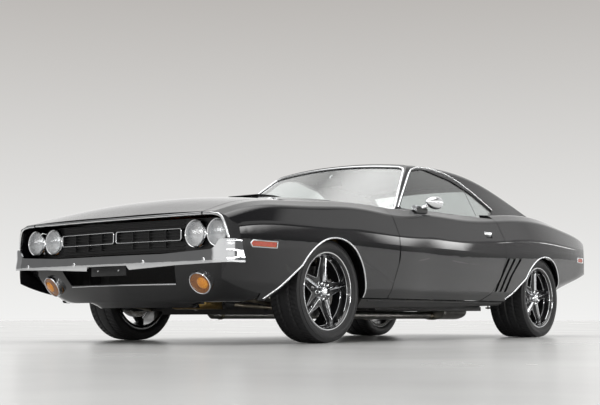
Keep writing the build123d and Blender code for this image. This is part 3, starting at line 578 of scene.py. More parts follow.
def tyre_object(key, side, axle, width):
    """Low-profile road tyre: bead, bulged sidewall with rings, and grooved tread blocks."""
    steps = TREAD_PITCH * 4
    half = width / 2
    tread = half - 0.018
    profile = [(-half + 0.014, RIM_R + 0.001), (-half + 0.006, RIM_R + 0.008),
               (-half + 0.001, RIM_R + 0.022), (-half, RIM_R + 0.034), (-half + 0.002, RIM_R + 0.046),
               (-half + 0.004, RIM_R + 0.054), (-half + 0.0065, TYRE_R - 0.014),
               (-half + 0.011, TYRE_R - 0.006)]
    across = 28
    for i, x in enumerate(span(-tread, tread, across)):
        crown = TYRE_R - 0.0028 * (x / tread) ** 2 - (0.0012 if i in (0, across) else 0)
        profile.append((x, crown))
    profile += [(-a, r) for a, r in reversed(profile[:8])]
    grooves = [0.30, 0.70] if width < 0.28 else [0.26, 0.50, 0.74]
    vertices = []
    for a, r in profile:
        share = (a + tread) / (2 * tread)
        on_tread = 0 <= share <= 1
        for k in range(steps):
            radius = r
            if on_tread:
                main = min(abs(share - g) for g in grooves) < 0.020
                skew = k + 10 * abs(share - 0.5)
                cross = int(skew) % 4 == 0 and abs(share - 0.5) > 0.12
                radius -= MAIN_GROOVE if main else (CROSS_GROOVE if cross else 0)
            angle = 2 * math.pi * k / steps
            vertices.append((a, radius * math.sin(angle), radius * math.cos(angle)))
    faces = grid_faces(len(profile), steps, wrap_columns=True)
    for i in range(steps):
        last = (len(profile) - 1) * steps
        faces.append((i, (i + 1) % steps, last + (i + 1) % steps, last + i))
    item = piece("tyre_cover_" + key, vertices, faces, RUBBER, "wheel_" + key)
    moved(item, Matrix.Translation((side * (TYRE_OUT - half), axle, WHEEL_Z)))
    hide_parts("tyre_" + key)
    for ring, radius in enumerate((RIM_R + 0.020, RIM_R + 0.050)):
        bead = [((side * (TYRE_OUT - 0.0012), axle + radius * math.cos(t), WHEEL_Z + radius * math.sin(t)),
                 (side, 0, 0)) for t in turn_angles(96)]
        swept(f"tyre_ring_{ring}_{key}", bead, half_round(0.0022, 0.0010, 0.002, 4), RUBBER,
              "wheel_" + key, closed=True)


WINDOW = [(0.088, 0.0), (0.182, 0.108), (0.233, 0.0), (0.182, -0.108)]


def window_edge(turn, x_at):
    """Rounded kite outline round one opening between two spokes, as points on the wheel's face."""
    radii = (0.008, 0.012, 0.211, 0.012)
    points = []
    count = len(WINDOW)
    for i, (a, b) in enumerate(WINDOW):
        corner = Vector((a, b))
        back = (Vector(WINDOW[i - 1]) - corner).normalized()
        ahead = (Vector(WINDOW[(i + 1) % count]) - corner).normalized()
        angle = back.angle(ahead)
        reach = radii[i] / math.tan(angle / 2)
        start, end = corner + back * reach, corner + ahead * reach
        centre = corner + (back + ahead).normalized() * (radii[i] / math.sin(angle / 2))
        for k in range(7):
            p = start.lerp(end, k / 6) - centre
            points.append(centre + p.normalized() * radii[i])
    result = []
    for p in points:
        z = p.x * math.cos(turn) - p.y * math.sin(turn)
        y = p.x * math.sin(turn) + p.y * math.cos(turn)
        result.append((x_at(p.length), y, z))
    return result


def face_depth(radius):
    """How far the wheel's face lies inside the rim's outer edge at a radius."""
    if radius < 0.092:
        return -0.058 + 0.006 * min(0.092 - radius, 0.020) / 0.020
    return -0.058 - 0.008 * (radius - 0.092) / 0.125


def on_wheel(out, radius, turn):
    """Point on a wheel at a radius, turned from straight up."""
    return (out, radius * math.sin(turn), radius * math.cos(turn))


NUT = [(0.0001, 0.022), (0.006, 0.021), (0.0095, 0.016), (0.0095, 0.0), (0.012, -0.002), (0.012, -0.012)]
CREST = [(-0.0095, -0.012), (-0.0032, 0.0), (0.0032, 0.0), (0.0095, -0.012)]
WHEEL_CAP = [(0.0001, -0.0165), (0.012, -0.0170), (0.022, -0.0195), (0.0270, -0.025), (0.0295, -0.042),
             (0.032, -0.052)]
RIM_LIP = [(0.2185, -0.020), (0.2235, -0.009), (0.229, -0.0015), (0.236, 0.0008), (0.2415, -0.002),
           (0.2415, -0.010), (0.228, -0.012), (0.2185, -0.020)]


def wheel_dress(key, side, axle):
    """Bright edges, ridge caps, lug nuts, centre cap and valve on one wheel's face."""
    body = "wheel_" + key
    hub = (0, 0, 0)
    items = []
    for i in range(SPOKES):
        turn = SPOKE_TURN + math.radians(36 + 72 * i)
        edge = [(p, LEFT) for p in window_edge(turn, lambda r: face_depth(r) + 0.0005)]
        items.append(swept(f"window_edge_{i}_{key}", edge, half_round(0.0048, 0.0030, 0.003, 4), WHEEL,
                           body, closed=True))
        turn = SPOKE_TURN + math.radians(72 * i)
        nut_at = on_wheel(face_depth(0.05) + 0.004, 0.050, turn + 0.628)
        items.append(turned(f"lug_nut_{i}_{key}", NUT, nut_at, LEFT, CHROME, body, 12))
        crest = [(on_wheel(out, r, turn), LEFT)
                 for out, r in zip(span(-0.0295, -0.0415, 8), span(0.058, 0.218, 8))]
        items.append(swept(f"spoke_crest_{i}_{key}", crest, CREST, WHEEL, body))
    items.append(turned("centre_cap_" + key, WHEEL_CAP, hub, LEFT, CHROME, body, 40))
    items.append(turned("rim_lip_" + key, RIM_LIP, hub, LEFT, CHROME, body, 96))
    valve_turn = math.radians(20)
    valve = [on_wheel(-0.050, 0.205, valve_turn), on_wheel(-0.030, 0.199, valve_turn)]
    items.append(tube("valve_" + key, valve, 0.0035, CHROME, body, 2))
    here = Matrix.Translation((side * RIM_EDGE, axle, WHEEL_Z)) @ Matrix.Diagonal((side, 1, 1, 1))
    for item in items:
        moved(item, here)


def brakes():
    """Vented disc and caliper inside each wheel; the front calipers steer with their knuckle."""
    inner = RIM_EDGE - 0.118
    disc = [(0.045, 0.0), (0.155, 0.0), (0.155, -0.008), (0.150, -0.010), (0.155, -0.012),
            (0.155, -0.022), (0.045, -0.022)]
    shoe = [(-0.034, -0.030), (-0.034, 0.022), (0.034, 0.022), (0.034, -0.030), (0.018, -0.030),
            (0.018, 0.010), (-0.018, 0.010), (-0.018, -0.030)]
    for key, side, axle, _ in WHEELS:
        holder = {"fl": "knuckle_left", "fr": "knuckle_right"}.get(key, "root")
        turned("disc_" + key, disc, (inner, axle, WHEEL_Z), LEFT, BRAKE, "wheel_" + key, 64, side)
        grip = [((side * (inner - 0.011), axle + 0.150 * math.cos(a), WHEEL_Z + 0.150 * math.sin(a)),
                 (0, math.cos(a), math.sin(a))) for a in span(math.radians(-28), math.radians(28), 8)]
        swept("caliper_" + key, grip, shoe, CAST, holder)


# ---------------------------------------------------------------- cabin
def cushion(name, low, high, crown, seams, tilt=0.0, pivot=None):
    """Upholstered pad: crowned top, soft edges and sewn channels across it."""
    nx, ny = 28, 24
    size = Vector(high) - Vector(low)
    vertices = []
    for layer in (1, 0):
        for j in range(ny + 1):
            for i in range(nx + 1):
                u, v = i / nx, j / ny
                edge = min(1.0, min(u, 1 - u, v, 1 - v) * 7)
                swell = math.sqrt(max(0.0, 1 - (1 - edge) ** 2))
                inside = 0.16 < u < 0.84 and 0.12 < v < 0.88
                channel = abs(math.sin(math.pi * u * seams)) ** 0.5 if inside else 1.0
                pull = (1 - swell) * 0.012
                x = low[0] + size.x * u + (0.5 - u) * 2 * pull
                y = low[1] + size.y * v + (0.5 - v) * 2 * pull
                if layer:
                    z = high[2] - crown + crown * swell * (0.82 + 0.18 * channel)
                else:
                    z = low[2] + 0.008 * (1 - swell)
                vertices.append(Vector((x, y, z)))
    count = (nx + 1) * (ny + 1)
    faces = grid_faces(ny + 1, nx + 1)
    faces += grid_faces(ny + 1, nx + 1, start=count)
    rim = list(range(nx + 1)) + [j * (nx + 1) + nx for j in range(1, ny + 1)]
    rim += [ny * (nx + 1) + i for i in range(nx - 1, -1, -1)]
    rim += [j * (nx + 1) for j in range(ny - 1, 0, -1)]
    for i in range(len(rim)):
        a, b = rim[i], rim[(i + 1) % len(rim)]
        faces.append((a, b, b + count, a + count))
    item = piece(name, vertices, faces, VINYL)
    if tilt:
        turn = Matrix.Rotation(tilt, 4, "X")
        moved(item, Matrix.Translation(pivot) @ turn @ Matrix.Translation(-Vector(pivot)))
    return item


def front_seats():
    """Bucket seats: channelled cushion and back on two runners each."""
    parts = []
    for side, word in SIDES:
        a, b = sorted((side * 0.165, side * 0.655))
        seat = cushion("seat_cushion_" + word, (a + 0.01, -0.178, 0.300), (b - 0.01, 0.250, 0.440),
                       0.035, 5)
        back = cushion("seat_back_" + word, (a + 0.024, 0.262, 0.330), (b - 0.024, 0.800, 0.452),
                       0.030, 5, tilt=math.radians(76), pivot=(0, 0.262, 0.330))
        moved(back, Matrix.Translation((0, 0.115, 0.0)))
        parts += [seat, back]
        for k, x in enumerate((a + 0.055, b - 0.055)):
            block(f"seat_runner_{k}_{word}", (x - 0.014, -0.115, 0.236), (x + 0.014, 0.235, 0.292),
                  CAST, bevel=0.003)
    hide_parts("front_seats")


def rear_bench():
    seat = cushion("bench_cushion", (-0.550, 0.672, 0.427), (0.550, 0.982, 0.516), 0.028, 10)
    back = cushion("bench_back", (-0.550, 0.985, 0.430), (0.550, 1.400, 0.500), 0.025, 10,
                   tilt=math.radians(82), pivot=(0, 0.985, 0.430))
    moved(back, Matrix.Translation((0, 0.075, 0.0)))
    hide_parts("rear_seat")


def dash_details():
    """Instrument hood with round gauges, vents, radio and glove box on the dashboard's face."""
    face_y = -0.456
    block("dash_cluster", (0.150, -0.470, 0.668), (0.590, -0.446, 0.806), PLASTIC, bevel=0.010)
    for i, (x, z, r) in enumerate(((0.225, 0.742, 0.036), (0.315, 0.742, 0.052), (0.430, 0.742, 0.052),
                                   (0.520, 0.742, 0.036))):
        turned(f"gauge_{i}", [(0.0001, 0.002), (r * 0.9, 0.002), (r, 0.006), (r * 1.06, 0.004),
                              (r * 1.08, -0.006)], (x, face_y + 0.012, z), AFT, GAUGE)
        needle = Vector((x, face_y + 0.017, z))
        tube(f"gauge_needle_{i}", [needle, needle + Vector((-r * 0.55, 0, r * 0.45))], 0.0012,
             MARKER_RED, smooth_steps=2)
        turned(f"gauge_ring_{i}", [(r, 0.004), (r * 1.04, 0.008), (r * 1.10, 0.004), (r * 1.10, -0.004)],
               (x, face_y + 0.012, z), AFT, CHROME)
    block("glove_box", (-0.560, -0.466, 0.690), (-0.200, -0.452, 0.800), PLASTIC, bevel=0.006)
    turned("glove_lock", [(0.0001, 0.012), (0.010, 0.012), (0.012, 0.0)], (-0.380, -0.456, 0.745),
           AFT, CHROME, steps=20)
    block("radio", (-0.110, -0.466, 0.700), (0.090, -0.448, 0.760), GAUGE, bevel=0.004)
    for k, x in enumerate((-0.095, 0.075)):
        turned(f"radio_knob_{k}", [(0.0001, 0.018), (0.010, 0.018), (0.012, 0.002)],
               (x, -0.450, 0.730), AFT, CHROME, steps=20)
    for k, x in enumerate((-0.640, 0.640)):
        for row in range(4):
            block(f"dash_vent_{k}_{row}", (x - 0.030, -0.466, 0.772 + row * 0.009),
                  (x + 0.030, -0.450, 0.776 + row * 0.009), PLASTIC, bevel=0.001, segments=1)


def console_and_mirror():
    block("console", (-0.100, -0.430, 0.400), (0.100, 0.330, 0.520), PLASTIC, bevel=0.020, segments=3)
    tube("gear_lever", [(0.0, -0.150, 0.515), (0.010, -0.130, 0.600), (0.020, -0.105, 0.665)], 0.006,
         CHROME)
    turned("gear_knob", [(0.0001, 0.046), (0.016, 0.042), (0.024, 0.026), (0.020, 0.008), (0.010, 0.0)],
           (0.020, -0.105, 0.658), (0.05, 0.2, 1), PLASTIC, steps=28)
    turned("gear_boot", [(0.050, 0.0), (0.040, 0.010), (0.034, 0.014), (0.026, 0.028), (0.020, 0.032),
                         (0.010, 0.050)], (0.0, -0.150, 0.518), UP, VINYL, steps=28)
    block("inner_mirror", (-0.115, -0.238, 1.125), (0.115, -0.216, 1.185), PLASTIC, bevel=0.010, segments=3)
    tube("inner_mirror_arm", [(0.0, -0.232, 1.160), (0.0, -0.220, 1.198), (0.0, -0.190, 1.214)], 0.006,
         CHROME)


def door_cards():
    """Inner door trim: panel, armrest, pull and window crank."""
    rows, columns = 10, 22
    for side, word in SIDES:
        body = "door_" + word
        tree = surfaces(body)
        vertices = []
        for i, z in enumerate(span(0.330, 0.870, rows - 1)):
            for j, y in enumerate(span(-0.640, 0.490, columns - 1)):
                found = hit(tree, (0.2 * side, y, z), (side, 0, 0))
                x = abs(found[0].x) if found else 0.80
                ridge = 0.004 if 2 < i < 6 and j % 2 else 0.0
                vertices.append((side * (x - 0.006 - ridge), y, z))
        thicken(piece("door_card_" + word, vertices, grid_faces(rows, columns), VINYL, body), 0.004)
        x = abs(hit(tree, (0.2 * side, 0.0, 0.600), (side, 0, 0))[0].x)
        block("armrest_" + word, (x - 0.066, -0.120, 0.560), (x - 0.004, 0.300, 0.612), VINYL, body,
              0.020, 4, side)
        tube("door_pull_" + word, [(x - 0.012, -0.300, 0.700), (x - 0.040, -0.270, 0.702),
                                   (x - 0.040, -0.180, 0.702), (x - 0.012, -0.150, 0.700)],
             0.006, CHROME, body, side=side)
        tube("window_crank_" + word, [(x - 0.010, 0.120, 0.500), (x - 0.040, 0.122, 0.502),
                                      (x - 0.040, 0.060, 0.460)], 0.006, CHROME, body, side=side)


def headliner():
    """Cloth under the roof skin, following it."""
    tree = surfaces("roof_panel")
    rows, columns = 16, 24
    vertices = []
    for i, y in enumerate(span(-0.120, 0.970, rows - 1)):
        half = 0.560 if y < 0.8 else 0.520
        bow = 0.004 if i % 4 == 0 else 0.0
        for x in span(-half, half, columns - 1):
            found = hit(tree, (x, y, 0.6), UP)
            z = found[0].z if found else 1.2
            vertices.append((x, y, z - 0.006 - bow))
    thicken(piece("headliner", vertices, grid_faces(rows, columns), HEADLINER), 0.003)


# ---------------------------------------------------------------- under the car
def front_linkage():
    """Steering linkage, torsion bars, sway bar and dampers between the front wheels."""
    y = FRONT_AXLE
    tie_inner = (0.330, y + 0.185, 0.232)
    tube("centre_link", [tie_inner, (0.150, y + 0.190, 0.226), (-0.150, y + 0.190, 0.226),
                         mirrored(tie_inner, -1)], 0.014, GOLD)
    damper_neck = (0.535, y + 0.010, 0.560)
    strut_foot = (0.440, y - 0.380, 0.235)
    for side, word in SIDES:
        knuckle = "knuckle_" + word
        tube("tie_rod_" + word, [tie_inner, (0.570, y + 0.160, 0.246)], 0.010, STEEL, side=side)
        tube("tie_sleeve_" + word, [(0.400, y + 0.178, 0.237), (0.520, y + 0.166, 0.243)], 0.015, GOLD,
             smooth_steps=2, side=side)
        turned("tie_end_" + word, [(0.0001, 0.020), (0.016, 0.018), (0.018, 0.0), (0.014, -0.018),
                                   (0.0001, -0.020)], (0.588, y + 0.158, 0.248), UP, STEEL, knuckle, 24,
               side)
        tube("steering_arm_" + word, [(0.735, y + 0.020, 0.268), (0.660, y + 0.090, 0.258),
                                      (0.588, y + 0.158, 0.252)], 0.012, CAST, knuckle, side=side)
        tube("torsion_bar_" + word, [(0.395, y + 0.040, 0.222), (0.395, -0.520, 0.190)], 0.013, GOLD,
             smooth_steps=3, side=side)
        tube("strut_rod_" + word, [(0.600, y - 0.010, 0.205), strut_foot], 0.011, STEEL,
             smooth_steps=3, side=side)
        turned("strut_bush_" + word, [(0.012, 0.030), (0.030, 0.028), (0.033, 0.010), (0.033, -0.010),
                                      (0.030, -0.028), (0.012, -0.030)], strut_foot, (-0.4, -0.92, 0.05),
               SEAL, steps=24, side=side)
        tube("damper_" + word, [(0.560, y + 0.010, 0.235), damper_neck], 0.024, GOLD, smooth_steps=3,
             side=side)
        tube("damper_rod_" + word, [damper_neck, (0.520, y + 0.010, 0.680)], 0.009, CHROME,
             smooth_steps=3, side=side)
        block("upper_arm_" + word, (0.440, y - 0.120, 0.432), (0.640, y + 0.120, 0.456), UNDER,
              bevel=0.010, side=side)
    half = [(0.520, y - 0.060, 0.236), (0.505, y - 0.220, 0.256), (0.470, y - 0.320, 0.266),
            (0.300, y - 0.350, 0.262)]
    tube("sway_bar", half + [mirrored(p, -1) for p in reversed(half)], 0.012, STEEL)
    block("oil_pan", (-0.150, y - 0.300, 0.208), (0.150, y - 0.060, 0.318), GOLD, bevel=0.030, segments=3)
    block("oil_pan_rail", (-0.180, y - 0.420, 0.290), (0.180, y + 0.115, 0.304), CAST)
    turned("oil_drain", [(0.0001, 0.010), (0.010, 0.010), (0.012, 0.0)], (0.0, y - 0.200, 0.208), DOWN,
           CAST, steps=6)


def exhaust_dress():
    """Clamps, muffler seams, tail bends, bright tips and hangers on both exhaust lines."""
    clamp = [(0.0285, 0.012), (0.033, 0.012), (0.033, -0.012), (0.0285, -0.012)]
    bend = [(0.300, 1.000, 0.200), (0.300, 1.120, 0.215), (0.320, 1.260, 0.420), (0.340, 1.400, 0.445),
            (0.400, 1.600, 0.400), (0.430, 1.800, 0.350), (0.430, 1.992, 0.340)]
    tip = [(0.026, 0.10), (0.0335, 0.102), (0.036, 0.100), (0.036, -0.020), (0.032, -0.024)]
    hanger = [(0.395, 2.060, 0.450), (0.395, 2.060, 0.372), (0.430, 2.060, 0.392), (0.465, 2.060, 0.372),
              (0.465, 2.060, 0.450)]
    for side, word in SIDES:
        for k, y in enumerate((-1.10, 0.660)):
            turned(f"exhaust_clamp_{k}_{word}", clamp, (0.300, y, 0.174), AFT, STEEL, steps=32, side=side)
        seam = [((side * 0.300 + 0.1255 * math.cos(a), 0.700, 0.200 + 0.0585 * math.sin(a)),
                 (math.cos(a), 0, math.sin(a))) for a in turn_angles(40)]
        swept("muffler_seam_" + word, seam, half_round(0.010, 0.004), EXHAUST, closed=True)
        tube("tail_bend_" + word, bend, 0.027, EXHAUST, side=side)
        turned("tail_tip_" + word, tip, (0.430, 2.302, 0.340), AFT, CHROME, steps=40, side=side)
        tube("pipe_hanger_" + word, hanger, 0.005, UNDER, side=side)


def rear_axle_dress():
    """Differential cover with its bolts, spring bolts and plates, dampers and drive joints."""
    turned("diff_cover", [(0.0001, 0.142), (0.060, 0.138), (0.100, 0.120), (0.112, 0.100), (0.124, 0.094),
                          (0.124, 0.060)], (0, REAR_AXLE, WHEEL_Z), AFT, CAST, steps=40)
    for i, a in enumerate(turn_angles(10)):
        turned(f"diff_bolt_{i}", [(0.0001, 0.012), (0.007, 0.012), (0.007, 0.0)],
               (0.112 * math.cos(a), REAR_AXLE + 0.092, WHEEL_Z + 0.112 * math.sin(a)), AFT, STEEL,
               steps=6)
    hoop = [(-0.034, 0.225), (-0.034, 0.330), (-0.020, 0.362), (0.020, 0.362), (0.034, 0.330),
            (0.034, 0.225)]
    for side, word in SIDES:
        x = side * 0.504
        for k, dy in enumerate((-0.045, 0.045)):
            tube(f"spring_bolt_{k}_{word}", [(x + dx, REAR_AXLE + dy, z) for dx, z in hoop], 0.006, STEEL)
        block("spring_plate_" + word, (x - 0.045, REAR_AXLE - 0.070, 0.228),
              (x + 0.045, REAR_AXLE + 0.070, 0.240), UNDER, bevel=0.003)
        tube("rear_damper_" + word, [(0.500, REAR_AXLE + 0.040, 0.236), (0.420, REAR_AXLE + 0.140, 0.440)],
             0.022, GOLD, smooth_steps=3, side=side)
    for k, y in enumerate((-0.770, 1.170)):
        turned(f"drive_joint_{k}", [(0.030, 0.035), (0.046, 0.030), (0.046, -0.030), (0.030, -0.035)],
               (0, y, 0.3195), AFT, CAST, steps=32)


# ---------------------------------------------------------------- small outside parts
def wipers():
    tree = surfaces("windshield", "roof_panel", "cowl_panel")
    for k, x in enumerate((0.420, -0.120)):
        foot = hit(tree, (x, -0.690, 1.6), DOWN)[0]
        sweep = [(x - 0.46 * i / 8, -0.615 + 0.028 * math.sin(math.pi * i / 8)) for i in range(9)]
        found = [hit(tree, (a, b, 1.6), DOWN) for a, b in sweep]
        points = [f[0] + Vector((0, -0.004, 0.010)) for f in found if f]
        swept(f"wiper_blade_{k}", [(p, (0, -0.6, 0.8)) for p in points],
              [(-0.004, -0.006), (-0.003, 0.006), (0.003, 0.006), (0.004, -0.006)], SEAL)
        tube(f"wiper_arm_{k}", [foot + Vector((0, 0, 0.002)), foot + Vector((-0.02, 0.02, 0.022)),
                                points[len(points) // 2] + Vector((0, 0, 0.006))], 0.004, CHROME)
        turned(f"wiper_pivot_{k}", [(0.0001, 0.018), (0.009, 0.016), (0.014, 0.004), (0.016, -0.002)],
               foot, UP, CHROME, steps=24)


def mirror_dress():
    """Glass, bright rim and foot of the door mirror."""
    head = (0.914, -0.262, 0.950)
    turned("mirror_glass", [(0.0001, 0.0728), (0.037, 0.0728), (0.0385, 0.0715)], head, AFT, CHROME,
           "door_left", 40)
    turned("mirror_rim", [(0.0375, 0.0730), (0.0405, 0.0745), (0.0428, 0.0720), (0.0428, 0.064)], head,
           AFT, CHROME, "door_left")
    block("mirror_foot", (0.840, -0.404, 0.866), (0.876, -0.256, 0.911), GRILLE_BLACK, "door_left",
          0.010, 3)


def bumper_bolts():
    """Round bright bolt heads on both bumpers."""
    head = [(0.0001, 0.004), (0.008, 0.0035), (0.012, 0.0015), (0.014, -0.002)]
    for node, name, end, z, places in (
            ("front_bumper", "bumper_bolt_", -1, 0.470, (-0.760, -0.300, 0.300, 0.760)),
            ("rear_bumper", "rear_bumper_bolt_", 1, 0.556, (-0.620, -0.330, 0.330, 0.620))):
        tree = surfaces(node)
        for k, ray in enumerate(from_end([(x, z) for x in places], end=end)):
            point, normal = hit(tree, *ray)
            turned(f"{name}{k}", head, point, normal, CHROME, steps=28)


def plate_bracket():
    block("plate_bracket", (-0.150, -2.408, 0.398), (0.150, -2.398, 0.462), GRILLE_BLACK, bevel=0.003)
    for k, x in enumerate((-0.089, 0.089)):
        turned(f"plate_screw_{k}", [(0.0001, 0.003), (0.006, 0.002), (0.007, -0.001)],
               (x, -2.408, 0.430), FORE, CHROME, steps=16)


def tail_dress():
    """Ribs on the tail lamps, a bright frame round each and the trunk's lock."""
    tree = surfaces("tail_lamps", "tail_panel")
    outline = [(0.070, 0.612), (0.640, 0.612), (0.640, 0.742), (0.070, 0.742)]
    for side, word in SIDES:
        trim_along("tail_frame_" + word, tree, from_end(between(outline, 8, closed=True), side, 1),
                   half_round(0.010, 0.006), closed=True)
        for k, x in enumerate(span(0.070, 0.640, 6)[1:-1], 1):
            rays = from_end([(x, z) for z in span(0.616, 0.738, 6)], side, 1)
            trim_along(f"tail_rib_{k}_{word}", tree, rays, half_round(0.006, 0.004))
    point, normal = hit(surfaces("trunk_lid"), (0, 3.0, 0.790), FORE)
    turned("trunk_lock", [(0.0001, 0.004), (0.014, 0.004), (0.017, 0.001), (0.018, -0.004)], point,
           normal, CHROME, "trunk_lid", 28)


# ---------------------------------------------------------------- under the hood and the lid
RADIATOR_Y = -2.062


def radiator():
    """Finned core with its tanks, seen through the grille and the intake, and black baffles beside it."""
    core = finish("radiator_core", (0.010, 0.010, 0.010), (0.030, 0.029, 0.028), 260, (0.4, 0.6),
                  bump=0.0015, bump_grain=420, stretch=(0.15, 1, 3))
    block("radiator_core", (-0.360, RADIATOR_Y - 0.020, 0.250), (0.360, RADIATOR_Y + 0.020, 0.660), core)
    for k, z in enumerate((0.660, 0.222)):
        block(f"radiator_tank_{k}", (-0.372, RADIATOR_Y - 0.034, z), (0.372, RADIATOR_Y + 0.034, z + 0.034),
              GRILLE_BLACK, bevel=0.012, segments=3)
    turned("radiator_cap", [(0.0001, 0.020), (0.030, 0.018), (0.036, 0.010), (0.030, 0.0)],
           (0.180, RADIATOR_Y, 0.694), UP, CAST, steps=24)
    for side, word in SIDES:
        block("nose_baffle_" + word, (0.374, RADIATOR_Y - 0.004, 0.232), (0.452, RADIATOR_Y + 0.004, 0.700),
              UNDER, side=side)
        block("lamp_baffle_" + word, (0.526, RADIATOR_Y - 0.004, 0.360), (0.850, RADIATOR_Y + 0.004, 0.690),
              UNDER, side=side)
    turned("fan_hub", [(0.0001, 0.020), (0.052, 0.018), (0.056, 0.0), (0.052, -0.018)],
           (0, -2.000, 0.480), FORE, CAST, steps=32)
    for k, a in enumerate(turn_angles(7)):
        along = Vector((math.cos(a), 0, math.sin(a)))
        turn = Vector((-math.sin(a), 0, math.cos(a)))
        rows = []
        for r, pitch in zip(span(0.050, 0.200, 5), span(0.050, 0.032, 5)):
            for s in (-1, 0, 1):
                rows.append(Vector((0, -2.004 + s * 0.010, 0.480)) + along * r + turn * (s * pitch))
        blade = piece(f"fan_blade_{k}", rows, grid_faces(6, 3), CAST)
        blade.modifiers.new("thick", "SOLIDIFY").thickness = 0.0025


def engine_dressing():
    """Valve covers, intake, air cleaner, leads, hoses, battery and brake booster round the block."""
    for side, word in SIDES:
        rows = []
        for i, y in enumerate(span(-1.930, -1.390, 12)):
            swell = 1 - 0.5 * (abs(i - 6) / 6) ** 8
            for a, b in ((-0.075, 0.0), (-0.070, 0.040), (-0.045, 0.066), (0.045, 0.066),
                         (0.070, 0.040), (0.075, 0.0)):
                tilt = math.radians(-28 * side)
                a, b = a * side * swell, b * swell
                rows.append((side * 0.190 + a * math.cos(tilt) - b * math.sin(tilt), y,
                             0.716 + a * math.sin(tilt) + b * math.cos(tilt)))
        faces = grid_faces(13, 6)
        faces += [tuple(range(6)), tuple(12 * 6 + k for k in range(6))]
        cover = piece("valve_cover_" + word, rows, faces, ENGINE)
        bevel = cover.modifiers.new("round", "BEVEL")
        bevel.width, bevel.segments = 0.006, 2
        for k in range(4):
            y = -1.860 + 0.130 * k
            tube(f"plug_lead_{k}_{word}", [(0.262, y, 0.690), (0.285, y + 0.010, 0.735),
                                           (0.240, y + 0.060, 0.805), (0.100, -1.430, 0.800),
                                           (0.020, -1.400, 0.790)], 0.0045, SEAL, side=side)
        block("exhaust_manifold_" + word, (0.242, -1.900, 0.560), (0.300, -1.420, 0.615), CAST,
              bevel=0.020, segments=3, side=side)
    block("intake_manifold", (-0.095, -1.850, 0.700), (0.095, -1.460, 0.748), CAST, bevel=0.015, segments=3)
    turned("air_cleaner", [(0.0001, 0.072), (0.040, 0.068), (0.046, 0.060), (0.150, 0.056), (0.182, 0.052),
                           (0.190, 0.044), (0.178, 0.040), (0.174, 0.010), (0.190, 0.006), (0.186, 0.0),
                           (0.060, -0.004), (0.055, -0.030)], (0, -1.655, 0.778), UP, ENGINE, steps=64)
    turned("wing_nut", [(0.0001, 0.020), (0.006, 0.018), (0.012, 0.004), (0.014, 0.0)],
           (0, -1.655, 0.848), UP, CHROME, steps=16)
    turned("distributor", [(0.0001, 0.070), (0.030, 0.066), (0.046, 0.030), (0.046, 0.0), (0.030, -0.04)],
           (0, -1.385, 0.740), UP, PLASTIC, steps=32)
    tube("top_hose", [(0.250, RADIATOR_Y + 0.020, 0.675), (0.240, -1.990, 0.700), (0.120, -1.950, 0.735),
                      (0.040, -1.880, 0.745)], 0.022, SEAL)
    block("battery", (0.560, -1.960, 0.640), (0.720, -1.740, 0.800), PLASTIC, bevel=0.008, segments=3)
    for k, y in enumerate((-1.930, -1.770)):
        turned(f"battery_post_{k}", [(0.0001, 0.020), (0.008, 0.020), (0.010, 0.0)], (0.600, y, 0.798),
               UP, CAST, steps=16)
    turned("brake_booster", [(0.0001, 0.080), (0.050, 0.078), (0.100, 0.050), (0.106, 0.030), (0.106, 0.0),
                             (0.060, -0.006)], (0.400, -0.800, 0.690), FORE, GOLD, steps=48)
    block("master_cylinder", (0.370, -0.985, 0.680), (0.430, -0.878, 0.740), CAST, bevel=0.008, segments=3)


def hood_frame():
    """Pressed stiffening ribs under the hood and the trunk lid."""
    tree = surfaces("hood")
    section = half_round(0.060, 0.012, 0.002)
    for side, word in SIDES:
        for label, (x0, y0), (x1, y1) in (("edge", (0.640, -2.200), (0.640, -0.800)),
                                          ("slant", (0.080, -2.150), (0.580, -0.820))):
            rays = from_below(list(zip(span(x0, x1, 24), span(y0, y1, 24))), side)
            trim_along(f"hood_rib_{label}_{word}", tree, rays, section, PAINT, "hood")
    rays = from_below([(x, -0.810) for x in span(-0.640, 0.640, 30)])
    trim_along("hood_rib_rear", tree, rays, section, PAINT, "hood")
    tree = surfaces("trunk_lid")
    for k, x in enumerate((-0.560, -0.200, 0.200, 0.560)):
        rays = from_below([(x, y) for y in span(1.720, 2.240, 16)])
        trim_along(f"lid_rib_{k}", tree, rays, section, PAINT, "trunk_lid")


def floor_covers():
    """Moulded carpet in the cabin and a mat in the trunk."""
    for side, word in SIDES:
        block("carpet_" + word, (0.132, -0.756, 0.235), (0.768, 0.636, 0.243), CARPET, side=side)
        block("carpet_tunnel_" + word, (0.130, -0.756, 0.240), (0.138, 0.636, 0.419), CARPET, side=side)
    block("carpet_tunnel_top", (-0.130, -0.756, 0.420), (0.130, 0.636, 0.427), CARPET)
    block("trunk_mat", (-0.565, 1.116, 0.490), (0.565, 2.280, 0.497), CARPET)


# ---------------------------------------------------------------- assembly
arch_lips()
drip_rails()
screen_surrounds()
nose_trim()
chin_trim()
sill_trim()
door_handles()
side_markers()
marker_lenses()
grille_frames()
headlamp_faces()
parking_lamps()
for key, side, axle, width in WHEELS:
    tyre_object(key, side, axle, width)
    wheel_dress(key, side, axle)
brakes()
front_seats()
rear_bench()
dash_details()
console_and_mirror()
door_cards()
headliner()
front_linkage()
exhaust_dress()
rear_axle_dress()
wipers()
mirror_dress()
bumper_bolts()
plate_bracket()
tail_dress()
radiator()
engine_dressing()
hood_frame()
floor_covers()


